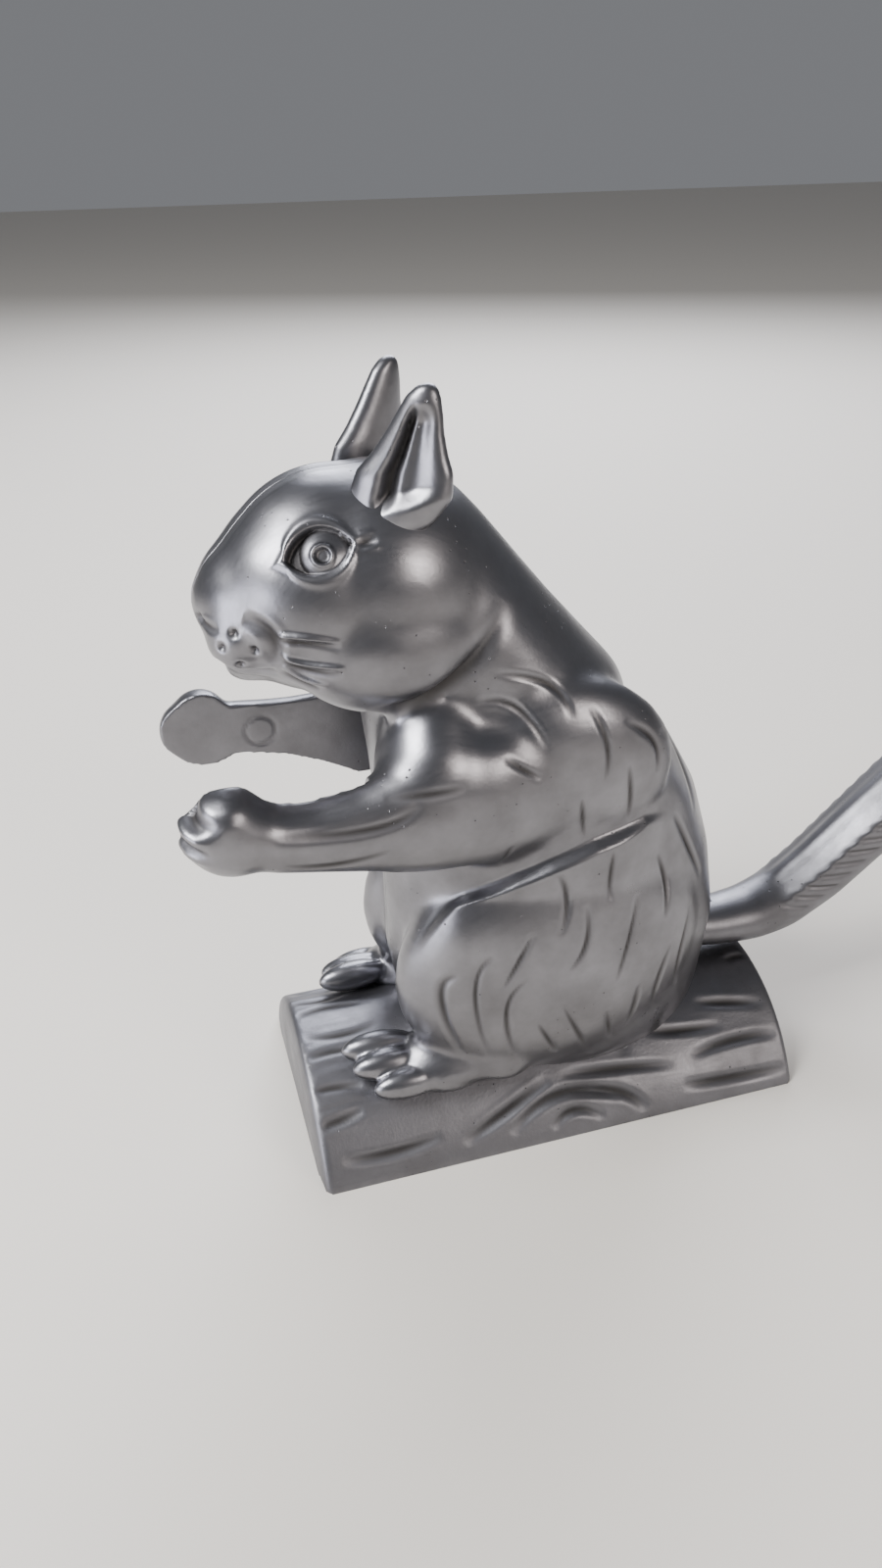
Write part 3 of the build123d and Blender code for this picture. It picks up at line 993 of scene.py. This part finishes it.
    def shape_thighs(self, skin: Skin) -> None:
        """Raises each thigh to a ledge that climbs to the back.

        Args:
            skin: the figure's skin.
        """
        y, z = skin.co[:, 1], skin.co[:, 2]
        ledge = np.interp(y, self.LEDGE_Y, self.LEDGE_Z)
        below = ledge - z
        rise = smoothly((below + 0.8) / 2.6) * np.exp(-np.clip(below, 0, 99) / 16.0)
        reach = smoothly((y + 34) / 12) * (1 - smoothly((y - 8) / 16))
        facing = smoothly((np.abs(skin.normal[:, 0]) - 0.35) / 0.3) * (z < 90)
        skin.push(2.8 * rise * reach * facing)

    def dress_forehead(self, skin: Skin) -> None:
        """Files the parting line flat over the forehead, which leaves a duller strip.

        Args:
            skin: the figure's skin.
        """
        x, y, z = skin.co.T
        strip = (1 - smoothly((np.abs(x) - 2.1) / 0.6)) * smoothly((z - 131) / 4)
        strip = strip * smoothly((y + 66) / 4) * (1 - smoothly((y + 42) / 8)) * (skin.normal[:, 2] > 0.2)
        skin.push(-0.15 * strip)
        skin.hollow = np.maximum(skin.hollow, 0.28 * strip)

    @staticmethod
    def on_face(spot: Vector) -> bool:
        """Tells whether a point is on a cheek, an eye or the muzzle, clear of the parting line.

        Args:
            spot: the point, in millimetres.

        Returns:
            True where the face needs a finer mesh.
        """
        in_front = -70 < spot.y < -35 and spot.y + 0.35 * spot.z < 7
        return abs(spot.x) > 4.0 and in_front and 112 < spot.z < 146

    def detail(self, figure: bpy.types.Object) -> None:
        """Makes the face's grain finer, then carves fur, creases and face.

        Args:
            figure: the figure, whose mesh is changed.
        """
        bm = bmesh.new()
        bm.from_mesh(figure.data)
        fine = [e for e in bm.edges if all(self.on_face(v.co) for v in e.verts)]
        bmesh.ops.subdivide_edges(bm, edges=fine, cuts=1, use_grid_fill=True)
        bmesh.ops.triangulate(bm, faces=[f for f in bm.faces if len(f.verts) > 4])
        bm.to_mesh(figure.data)
        bm.free()
        skin = Skin(figure.data)
        self.shape_thighs(skin)
        skin.write()
        skin.read()
        sideways = smoothly((np.abs(skin.normal[:, 0]) - 0.15) / 0.3)
        flat = skin.co[:, 1:]
        outer = np.abs(skin.co[:, 0]) > 3.0
        # The carved lines and the dents below are marked for painted shade as well as cut.
        skin.carve(CREASES, flat, sideways * outer)
        skin.carve(FUR, flat, sideways * outer * (skin.co[:, 2] < 118))
        on_head = (np.abs(skin.co[:, 0]) > 2.0) * (skin.co[:, 1] < -34) * (skin.co[:, 2] > 108)
        skin.carve(FACE, flat, on_head * 1.0)
        skin.write()
        skin.read()
        nostril, pad = (4.0, -67.0, 125.0), (10.0, -61.0, 121.5)
        for side in (-1, 1):
            for x, y, z in WHISKER_PITS:
                skin.dent((side * x, y, z), 1.15, 1.0)
            skin.dent((side * nostril[0], *nostril[1:]), 1.5, 0.9)
            skin.dent((side * pad[0], *pad[1:]), 6.5, -0.9)
        tip = smoothly((-skin.normal[:, 1] - 0.2) / 0.4) * (skin.co[:, 1] < -68) * (skin.co[:, 0] > 18)
        skin.carve(CLEFTS, skin.co[:, [0, 2]], tip)
        Eye().carve(skin)
        self.dress_forehead(skin)
        skin.write()

    def hollow_out(self, figure: bpy.types.Object) -> None:
        """Takes out the core, the seat on the log, and the windows for the moving arm and the tail.

        Args:
            figure: the figure, whose mesh is changed.
        """
        bm = bmesh.new()
        rings = [level_ring(0.0, 8.0, 28.0, 17.0)]
        for z, y, half_length, half_width in self.torso[:-1]:
            room = 2.0 if 20.0 < z < 60.0 else 0.8
            rings.append(level_ring(z, y, half_length - self.wall - 0.4, half_width - self.wall + room))
        add_rings(bm, rings)
        carve(figure, new_object("tool", bm), Cut.AWAY)
        carve(figure, Log().form(0.05, -10.0), Cut.AWAY)
        # The tail's root swings out to the right, so its slot is wide there and narrow on the left.
        slot_right, slot_left, slot_top = self.tail_slot
        carve(figure, block_tool((-BEYOND, slot_right, -5.0), (1.0, BEYOND, slot_top)), Cut.AWAY)
        carve(figure, block_tool((0.0, slot_left, -5.0), (9.5, BEYOND, slot_top)), Cut.AWAY)
        carve(figure, block_tool(*self.window), Cut.AWAY)
        # The lever's chest wall sweeps behind the chest, which is turned away to let it pass.
        path = post_tool(PIVOT, *self.lever_room)
        carve(path, block_tool((-6.0, -40.0, 70.0), (13.0, -12.0, 100.0)), Cut.KEEP_COMMON)
        carve(figure, path, Cut.AWAY)

    def build(self) -> tuple[bpy.types.Object, bpy.types.Object]:
        """Builds the carved figure and parts it.

        Returns:
            Its left and right halves.
        """
        figure = self.clay()
        self.detail(figure)
        self.hollow_out(figure)
        right = figure.copy()
        right.data = figure.data.copy()
        bpy.context.scene.collection.objects.link(right)
        carve(figure, block_tool((PARTING, -BEYOND, -20.0), (BEYOND, BEYOND, 200.0)), Cut.KEEP_COMMON)
        carve(right, block_tool((-BEYOND, -BEYOND, -20.0), (-PARTING, BEYOND, 200.0)), Cut.KEEP_COMMON)
        return figure, right


# ---------------------------------------------------------------- log

# Grooves of the bark, as (distance round the log from its top, y).
BARK = [
    Stroke(((25, -57), (24.6, -52), (23.4, -46)), 1.0, 0.7),
    Stroke(((33, -52.5), (33.8, -41), (32.7, -30)), 1.1, 0.9),
    Stroke(((35.5, -25), (30.7, -14), (26, -3)), 1.1, 1.1),
    Stroke(((36, -14), (29.6, -1), (33.6, 13)), 1.1, 1.1),
    Stroke(((30, 2), (32.2, 13), (37.8, 19)), 1.2, 1.0),
    Stroke(((37, -4), (34, 1.6), (37, 8.5)), 0.9, 0.9),
    Stroke(((25.5, 0), (27, 14), (29, 27.5)), 1.0, 0.8),
    Stroke(((28, 32), (26.6, 44), (27.4, 55)), 1.1, 0.9),
    Stroke(((34, 29), (35, 40), (35.6, 57)), 1.1, 0.9),
    Stroke(((20, 22.5), (21.8, 32), (22.4, 42)), 1.0, 0.6),
    Stroke(((16, 37), (17.6, 45), (19.6, 54)), 1.1, 0.7),
    Stroke(((17.5, -57), (17.2, -52), (18, -45)), 0.9, 0.6),
    Stroke(((10, -57), (8.6, -50), (10, -42)), 0.9, 0.4),
    Stroke(((3, -56), (4.6, -47), (3, -38)), 0.9, 0.4),
    Stroke(((-4, -57), (-6, -49), (-5, -40)), 0.9, 0.5),
    Stroke(((-12, -57), (-10, -50), (-11, -42)), 0.9, 0.5),
    Stroke(((-20, -56), (-18, -42), (-21, -30)), 1.1, 0.8),
    Stroke(((-28, -50), (-30, -34), (-27, -18)), 1.1, 0.9),
    Stroke(((-35, -54), (-34, -38), (-36, -24)), 1.1, 0.8),
    Stroke(((-33, -14), (-28, 2), (-34, 18)), 1.1, 1.0),
    Stroke(((-37, -8), (-33, 3), (-37, 12)), 1.0, 0.9),
    Stroke(((-27, 20), (-25, 36), (-28, 54)), 1.1, 0.8),
    Stroke(((-35, 24), (-36, 40), (-33, 56)), 1.1, 0.8),
    Stroke(((-17, 42), (-15, 49), (-17, 56)), 1.0, 0.7),
    Stroke(((7, 50), (6, 53), (7, 57)), 0.9, 0.5),
]


@dataclass(frozen=True)
class Log:
    """The half log: bark over a casting that is hollow underneath.

    Args:
        radius: radius of its round top, in millimetres.
        drop: height of the round's middle, which is under the floor.
        half_length: half its length.
        ends: how each end is rounded, as (share of the radius, distance in from the end).
        wall: thickness of the casting.
        boss_radius: radius of the pivot bolt's boss under the roof.
        boss_heights: heights of that boss.
        knot: middle of a small dent in the bark.
    """

    radius: float = 34.0
    drop: float = -13.2
    half_length: float = 57.7
    ends: tuple[Point2, ...] = ((0.80, 0.0), (0.93, 0.35), (0.985, 0.9), (1.0, 1.8))
    wall: float = 3.2
    boss_radius: float = 9.0
    boss_heights: Point2 = (10.3, 19.6)
    knot: Point3 = (22.0, 16.3, 15.0)

    def form(self, inset: float, floor: float) -> bpy.types.Object:
        """Makes the plain half log as a solid.

        Args:
            inset: how far in from the real surface, in millimetres.
            floor: height that it is cut off at.

        Returns:
            The solid, lying along Y.
        """
        bm = bmesh.new()
        radius, half = self.radius - inset, self.half_length - max(inset, 0.0)
        turn = Matrix.Rotation(math.pi / 2, 4, "X")
        places = []
        for share, back in self.ends:
            for end in (-1, 1):
                at = end * (half - back)
                size = Matrix.Diagonal((share * radius, share * radius, 1, 1))
                places.append((at, Matrix.Translation((0, at, self.drop)) @ turn @ size))
        places.sort(key=lambda place: place[0])
        add_rings(bm, [place for _, place in places], 128)
        solid = new_object("log", bm)
        return carve(solid, block_tool((-60.0, -80.0, floor), (60.0, 80.0, 60.0)), Cut.KEEP_COMMON)

    def build(self) -> bpy.types.Object:
        """Builds the log with its bark and its hollow.

        Returns:
            The log.
        """
        log = fuse(self.form(0.0, 0.0), 0.6, 3)
        skin = Skin(log.data)
        x, y, z = skin.co.T
        around = self.radius * np.arctan2(x, z - self.drop)
        flat = np.stack([around, y], 1)
        top = (z > 0.8) * (1 - smoothly((np.abs(y) - 54.0) / 2.5))
        # The bark's grooves and the knot are marked for painted shade as well as cut.
        skin.carve(BARK, flat, top)
        waves = np.sin(around * 1.9 + 1.5 * np.sin(y * 0.11))
        ripple = 0.06 * waves * smoothly((-y - 40) / 8) * (np.abs(around) < 22)
        skin.push(ripple * top)
        skin.dent(self.knot, 2.6, 0.8)
        skin.write()
        carve(log, self.form(self.wall, -5.0), Cut.AWAY)
        carve(log, post_tool(PIVOT, *self.boss_heights, self.boss_radius), Cut.JOIN)
        carve(log, post_tool(PIVOT, -2.0, 30.0, BORE_RADIUS), Cut.AWAY)
        return log


# ---------------------------------------------------------------- lever


@dataclass(frozen=True)
class Lever:
    """The moving right arm with its curved chest wall, web, hub and the lug that takes the tail.

    Args:
        stations: ovals from the arm's shoulder to its wrist, each as (centre, half sizes) in millimetres.
        inner_face: X of the arm's flat inner face.
        chest_wall: inner and outer radius, then low and high edge, of the wall that fills the window.
        web: the same for the plate that joins that wall to the hub.
        sweep: where the wall and web start and how far they run round the pivot, in degrees.
        hub: low end, high end and radius of the hub.
        ring_spot: middle of the shallow ring in the arm's face, as (y, z).
        ring_radius: radius of that ring.
        lug: the tongue between the hub and the tail, as its lowest and highest corner.
    """

    stations: tuple = (
        ((-21.0, -13.0, 86.0), (7.0, 7.0, 12.0)),
        ((-22.0, -22.0, 85.0), (8.0, 8.0, 12.4)),
        ((-22.5, -32.0, 84.2), (7.8, 8.0, 11.6)),
        ((-22.6, -40.0, 85.2), (7.4, 6.0, 8.6)),
        ((-22.6, -48.0, 86.6), (7.2, 6.0, 6.7)),
        ((-22.6, -54.0, 87.4), (7.2, 6.0, 6.1)),
        ((-22.6, -60.0, 88.2), (7.2, 5.0, 5.9)),
    )
    inner_face: float = -22.0
    chest_wall: tuple[float, float, float, float] = (30.3, 33.3, 74.5, 97.5)
    web: tuple[float, float, float, float] = (2.0, 32.0, 79.0, 87.0)
    sweep: Point2 = (-98.5, -37.5)
    hub: Point3 = (24.6, 88.0, 8.0)
    ring_spot: Point2 = (-55.1, 87.2)
    ring_radius: float = 3.3
    lug: tuple[Point3, Point3] = ((0.02, 10.0, 25.0), (6.0, 31.0, 35.0))

    def add_sector(self, bm: bmesh.types.BMesh, inner: float, outer: float, low: float, high: float) -> None:
        """Adds a slice of a ring about the pivot.

        Args:
            bm: the mesh being built.
            inner: its inner radius.
            outer: its outer radius.
            low: its lower height.
            high: its upper height.
        """
        start, angle = (math.radians(a) for a in self.sweep)
        centre = Vector((*PIVOT, 0.0))
        face = Matrix.Translation(((inner + outer) / 2, 0, (low + high) / 2))
        face = face @ Matrix.Rotation(math.pi / 2, 4, "X")
        face = face @ Matrix.Diagonal((outer - inner, high - low, 1, 1))
        place = Matrix.Translation(centre) @ Matrix.Rotation(start, 4, "Z") @ face
        made = bmesh.ops.create_grid(bm, x_segments=1, y_segments=1, size=0.5, matrix=place)
        geom = list(made["verts"])
        geom += list({e for v in made["verts"] for e in v.link_edges})
        geom += list({f for v in made["verts"] for f in v.link_faces})
        bmesh.ops.spin(bm, geom=geom, cent=centre, axis=(0, 0, 1), angle=angle, steps=24, use_duplicate=False)

    def clay(self) -> bpy.types.Object:
        """Shapes the arm, trims its inner face flat, and fuses it with the wall, the web and the hub.

        Returns:
            The fused lever.
        """
        bm = bmesh.new()
        add_limb(bm, self.stations)
        add_lumps(bm, Squirrel.paw_lumps(-1))
        arm = fuse(new_object("arm", bm), 1.0, 4)
        carve(arm, block_tool((self.inner_face, -90.0, 60.0), (30.0, 20.0, 120.0)), Cut.AWAY)
        bm = bmesh.new()
        bm.from_mesh(arm.data)
        bpy.data.objects.remove(arm)
        self.add_sector(bm, *self.chest_wall)
        self.add_sector(bm, *self.web)
        add_post(bm, PIVOT, *self.hub)
        bmesh.ops.recalc_face_normals(bm, faces=bm.faces)
        return fuse(new_object("lever", bm), 0.55, 2)

    def detail(self, lever: bpy.types.Object) -> None:
        """Carves the fur on the arm's outside, and the shallow ring in its inner face.

        Args:
            lever: the lever, whose mesh is changed.
        """
        skin = Skin(lever.data)
        outward = smoothly((-skin.normal[:, 0] - 0.1) / 0.3)
        skin.carve(FUR, skin.co[:, 1:], outward * (skin.co[:, 0] < -24) * (skin.co[:, 1] < -28))
        skin.write()
        skin.read()
        gap = np.hypot(skin.co[:, 1] - self.ring_spot[0], skin.co[:, 2] - self.ring_spot[1])
        on_face = (skin.normal[:, 0] > 0.8) * (np.abs(skin.co[:, 0] - self.inner_face) < 0.6)
        ring = np.exp(-(((gap - self.ring_radius) / 0.35) ** 2)) * on_face
        skin.push(-0.35 * ring)
        # Painted shade in the ring's groove.
        skin.hollow = np.maximum(skin.hollow, 0.35 * ring)
        skin.write()

    def build(self) -> bpy.types.Object:
        """Builds the lever, trimmed to pass through the window and bored for the bolt.

        Returns:
            The lever.
        """
        lever = self.clay()
        self.detail(lever)
        behind_window = ((-60.0, -9.3, 60.0), (-12.0, 40.0, 120.0))
        under_window = ((-60.0, -40.0, 50.0), (-10.0, 10.0, 73.2))
        over_window = ((-60.0, -40.0, 98.8), (-10.0, 10.0, 120.0))
        for low, high in (behind_window, under_window, over_window):
            carve(lever, block_tool(low, high), Cut.AWAY)
        carve(lever, post_tool(PIVOT, 0.0, BEYOND, BORE_RADIUS), Cut.AWAY)
        carve(lever, block_tool(*self.lug), Cut.JOIN)
        return lever


@dataclass(frozen=True)
class Tail:
    """The tail: a faceted bar with hair grooves on one facet of each side.

    Args:
        slices: its course from the root, each as (y, z, lean in degrees, half width, half thickness).
        hair_pitch: distance between grooves, in millimetres.
        hair_depth: their depth.
        root: the tongue that the lever's lug is screwed to, as its lowest and highest corner.
    """

    slices: tuple = (
        (40.0, 28.8, 0.0, 6.0, 5.0),
        (48.0, 28.3, 0.0, 7.0, 5.6),
        (58.0, 28.6, 10.0, 7.8, 6.4),
        (67.0, 31.2, 24.0, 8.2, 7.4),
        (76.0, 37.4, 42.0, 8.5, 8.0),
        (90.0, 50.5, 43.0, 9.0, 8.0),
        (107.0, 65.5, 40.0, 10.0, 8.2),
        (124.0, 77.8, 31.0, 11.0, 8.4),
        (140.0, 84.8, 16.0, 11.0, 8.0),
        (153.0, 86.6, 2.0, 8.5, 6.2),
        (160.0, 86.2, -6.0, 3.4, 2.8),
    )
    hair_pitch: float = 4.4
    hair_depth: float = 0.36
    root: tuple[Point3, Point3] = ((-5.98, 12.5, 25.0), (-0.02, 48.0, 34.0))

    # Distance between rings along the tail, and corners in each ring.
    STEP = 0.6
    CORNERS = 96
    # The facets, each as (depth, middle, waves in a turn, first angle, last angle), round from the side.
    FACETS = ((-0.55, 62, 6, 32, 92), (-0.5, 12, 4.5, -8, 32), (-0.5, -40, 4, -62, -18))

    def build(self) -> bpy.types.Object:
        """Builds the tail.

        Returns:
            The tail.
        """
        table = np.array(self.slices)
        gaps = np.linalg.norm(np.diff(table[:, :2], axis=0), axis=1)
        reach = np.concatenate([[0], np.cumsum(gaps)])
        fine = np.arange(0.0, reach[-1], self.STEP)
        smooth = [self.spline(reach, table[:, i], fine) for i in range(5)]
        bm = bmesh.new()
        places = []
        for y, z, lean, width, thick in zip(*smooth):
            turn = Matrix.Rotation(math.radians(90 + lean), 4, "X")
            places.append(Matrix.Translation((0, y, z)) @ turn @ Matrix.Diagonal((width, thick, 1, 1)))
        add_rings(bm, places, self.CORNERS)
        tail = new_object("tail", bm)
        skin = Skin(tail.data)
        ring = np.minimum(np.arange(len(skin.co)) // self.CORNERS, len(fine) - 1)
        centre = np.stack([np.zeros(len(fine)), smooth[0], smooth[1]], 1)[ring]
        lean = np.radians(smooth[2])[ring]
        rel = skin.co - centre
        over = rel[:, 1] * -np.sin(lean) + rel[:, 2] * np.cos(lean)
        across = np.abs(rel[:, 0]) / smooth[3][ring]
        angle = np.degrees(np.arctan2(over / smooth[4][ring], across))
        here = fine[ring]
        flatten = np.zeros(len(angle))
        for depth, middle, waves, first, last in self.FACETS:
            inside = (angle > first) & (angle <= last)
            flatten += depth * np.cos(np.radians((angle - middle) * waves)) * inside
        grown = smoothly((here - 22) / 10) * (1 - smoothly((here - reach[-1] + 12) / 10))
        phase = 2 * np.pi * (here + 0.16 * angle) / self.hair_pitch
        band = smoothly((angle + 8) / 10) * (1 - smoothly((angle - 32) / 9))
        hair = self.hair_depth * (np.abs(np.sin(phase / 2)) - 0.6) * band
        skin.push((flatten * 0.7 + hair * 1.2) * grown)
        # Painted shade at the bottom of each hair groove.
        skin.hollow = 0.8 * band * grown * (1 - np.abs(np.sin(phase / 2))) ** 2
        skin.write()
        carve(tail, block_tool(*self.root), Cut.JOIN)
        return tail

    @staticmethod
    def spline(at: np.ndarray, value: np.ndarray, where: np.ndarray) -> np.ndarray:
        """Softens a run of straight steps into a smooth curve.

        Args:
            at: where each value is.
            value: the values.
            where: where the curve is read.

        Returns:
            The curve's value at each of those.
        """
        rough = np.interp(where, at, value)
        kernel = np.hanning(17)
        padded = np.pad(rough, 8, mode="reflect", reflect_type="odd")
        return np.convolve(padded, kernel / kernel.sum(), mode="valid")


# ---------------------------------------------------------------- ears


@dataclass(frozen=True)
class Ear:
    """A pricked ear: a leaf with a thick front rim, a deep groove behind it and a smooth bowl.

    Args:
        base: middle of the left ear's root, in millimetres.
        rings: its slices from the root up, each as (height, half width, half thickness, shift back).
        width_way: the way that its width runs.
        out_way: the way that it faces.
    """

    base: Point3 = (13.4, -30.4, 139.0)
    rings: tuple = (
        (0.0, 5.4, 3.0, -3.6),
        (3.0, 7.8, 3.6, -2.4),
        (7.0, 9.3, 3.6, -1.0),
        (11.0, 8.7, 3.3, -0.3),
        (14.0, 6.8, 3.0, 0.6),
        (17.5, 5.2, 2.7, 1.5),
        (21.0, 4.0, 2.3, 2.4),
        (23.6, 3.0, 1.9, 3.0),
        (25.0, 1.9, 1.5, 3.5),
        (25.6, 0.8, 0.8, 3.7),
    )
    width_way: Point3 = (0.50, 0.866, 0.0)
    out_way: Point3 = (0.866, -0.50, 0.0)

    def build(self, side: int) -> bpy.types.Object:
        """Builds one ear.

        Args:
            side: 1 for the left ear, -1 for the right.

        Returns:
            The ear.
        """
        axes = Matrix((self.width_way, self.out_way, (0, 0, 1))).transposed().to_4x4()
        bm = bmesh.new()
        places = []
        for height, half_width, half_thick, lean in self.rings:
            spot = Matrix.Translation((lean, -0.10 * height, height))
            places.append(spot @ Matrix.Diagonal((half_width, half_thick, 1, 1)))
        add_rings(bm, places, 64)
        ear = fuse(new_object("ear", bm), 0.4, 14)
        skin = Skin(ear.data)
        u, out, v = skin.co.T
        heights, half_widths, _, leans = zip(*self.rings)
        half = np.interp(v, heights, half_widths)
        lean = np.interp(v, heights, leans)
        share = (u - lean) / half
        front_face = smoothly((skin.normal[:, 1] - 0.1) / 0.4)
        up = smoothly((v - 5.0 - 0.25 * u) / 3.5) * (1 - smoothly((v - 19.0) / 4.0))
        groove = np.exp(-(((share + 0.22) / 0.15) ** 2))
        bowl = np.exp(-(((share - 0.22) / 0.42) ** 2))
        depth = (2.6 * groove + 2.1 * bowl * (share > -0.35)) * up
        skin.co[:, 1] -= depth * front_face
        # Painted shade in the groove behind the front rim.
        skin.hollow = np.maximum(skin.hollow, groove * up * front_face)
        skin.write()
        place = Matrix.Translation(self.base) @ axes
        ear.data.transform(place)
        if side < 0:
            ear.data.transform(Matrix.Diagonal((-1, 1, 1, 1)))
            ear.data.flip_normals()
        return ear


# ---------------------------------------------------------------- whole


def dress(obj: bpy.types.Object, paint: bpy.types.Material) -> None:
    """Gives a piece one material all over.

    Args:
        obj: the piece.
        paint: the material.
    """
    obj.data.materials.clear()
    obj.data.materials.append(paint)
    obj.data.polygons.foreach_set("material_index", [0] * len(obj.data.polygons))


def build_nutcracker() -> None:
    """Builds every piece and dresses it."""
    # The body was polished brightest. The log is satin, and the arm, which fingers wear, is between the two.
    polished = CastAluminium(
        "polished cast aluminium",
        "#87878c",
        "#302d2a",
        smooth=0.22,
        dull=0.34,
        grain=0.015,
        scratch=0.008,
        pit=0.10,
    )
    satin = CastAluminium(
        "satin cast aluminium of the log",
        "#7c7c81",
        "#393633",
        smooth=0.34,
        dull=0.46,
        grain=0.04,
        scratch=0.012,
        pit=0.08,
    )
    arm = CastAluminium(
        "cast aluminium of the lever",
        "#7e7e83",
        "#393633",
        smooth=0.28,
        dull=0.40,
        grain=0.03,
        scratch=0.012,
        pit=0.08,
    )
    body_paint, log_paint, arm_paint = polished.material(), satin.material(), arm.material()
    zinc = ZincSteel().material()
    for name in FASTENERS:
        dress(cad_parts[name], zinc)
    left, right = Squirrel().build()
    pieces = [
        (left, "left_body", "figure", "polished_casting", ["left_body_shell"], body_paint),
        (right, "right_body", "figure", "polished_casting", ["right_body_shell"], body_paint),
        (Ear().build(1), "left_ear_cast", "figure", "polished_casting", ["left_ear"], body_paint),
        (Ear().build(-1), "right_ear_cast", "figure", "polished_casting", ["right_ear"], body_paint),
        (Log().build(), "log_cast", "figure", "cast_log", ["log_base"], log_paint),
        (Lever().build(), "right_arm", "lever", "lever_casting", ["right_arm_lever"], arm_paint),
        (Tail().build(), "tail", "lever", "lever_casting", ["tail_handle"], arm_paint),
    ]
    for obj, name, body, slot, nodes, paint in pieces:
        dress(obj, paint)
        finish_piece(obj, name, body, nodes)


# ---------------------------------------------------------------- studio


@dataclass
class Studio:
    """Floor, lights and camera. Lengths are in metres.

    Args:
        eye: where the camera is.
        look: the way that it looks.
        roll: its turn about that way, in degrees.
        lens: its focal length, in millimetres.
        aim: what the lights point at.
    """

    eye: Point3 = (0.2038, -0.0800, 0.2040)
    look: Point3 = (-0.8289, 0.2405, -0.5051)
    roll: float = -0.85
    lens: float = 26.63
    aim: Point3 = (0.0, 0.0, 0.08)

    # Each light as (name, place, size, power in watts, tint).
    LIGHTS = (
        ("key_light", (0.1, -0.7, 0.8), 0.45, 18.0, "#ffffff"),
        ("back_light", (-0.8, 0.3, 0.7), 0.7, 16.0, "#f3f6ff"),
        ("side_light", (0.8, 0.5, 0.5), 0.4, 4.0, "#fff4ea"),
        ("front_card", (0.15, -0.65, 0.10), 0.35, 3.0, "#f4f5ff"),
    )

    def floor(self) -> None:
        """Lays a plain pale floor."""
        bm = bmesh.new()
        bmesh.ops.create_grid(bm, x_segments=1, y_segments=1, size=3.0)
        floor = new_object("floor", bm)
        paint = bpy.data.materials.new("pale studio floor")
        paint.use_nodes = True
        shader = paint.node_tree.nodes["Principled BSDF"]
        shader.inputs["Base Color"].default_value = linear("#d9d4cc")
        shader.inputs["Roughness"].default_value = 0.8
        floor.data.materials.append(paint)

    def area(self, name: str, place: Point3, size: float, power: float, tint: str) -> None:
        """Hangs a soft square light that points at the figure.

        Args:
            name: the light's name.
            place: where it hangs.
            size: length of its side.
            power: its power, in watts.
            tint: its colour.
        """
        light = bpy.data.lights.new(name, "AREA")
        light.size = size
        light.energy = power
        light.color = linear(tint)[:3]
        lamp = bpy.data.objects.new(name, light)
        bpy.context.scene.collection.objects.link(lamp)
        lamp.location = place
        lamp.rotation_euler = (Vector(self.aim) - Vector(place)).to_track_quat("-Z", "Y").to_euler()

    def build(self) -> None:
        """Sets the floor, the lights, the world and the camera."""
        self.floor()
        for light in self.LIGHTS:
            self.area(*light)
        world = bpy.data.worlds.new("studio")
        world.use_nodes = True
        back = world.node_tree.nodes["Background"]
        back.inputs["Color"].default_value = linear("#b9bbc0")
        back.inputs["Strength"].default_value = 0.40
        bpy.context.scene.world = world
        camera = bpy.data.cameras.new("camera")
        camera.lens = self.lens
        camera.sensor_width = 36.0
        camera.clip_start = 0.01
        eye = bpy.data.objects.new("camera", camera)
        bpy.context.scene.collection.objects.link(eye)
        eye.location = self.eye
        straight = Vector(self.look).to_track_quat("-Z", "Y").to_matrix()
        turn = straight @ Matrix.Rotation(math.radians(self.roll), 3, "Z")
        eye.rotation_euler = turn.to_euler()
        bpy.context.scene.camera = eye


def main() -> None:
    """Builds every piece, the studio and the camera."""
    logging.basicConfig(level=logging.INFO, format="%(name)s %(message)s")
    build_nutcracker()
    Studio().build()
    bpy.context.view_layer.update()


if __name__ == "__main__":
    main()
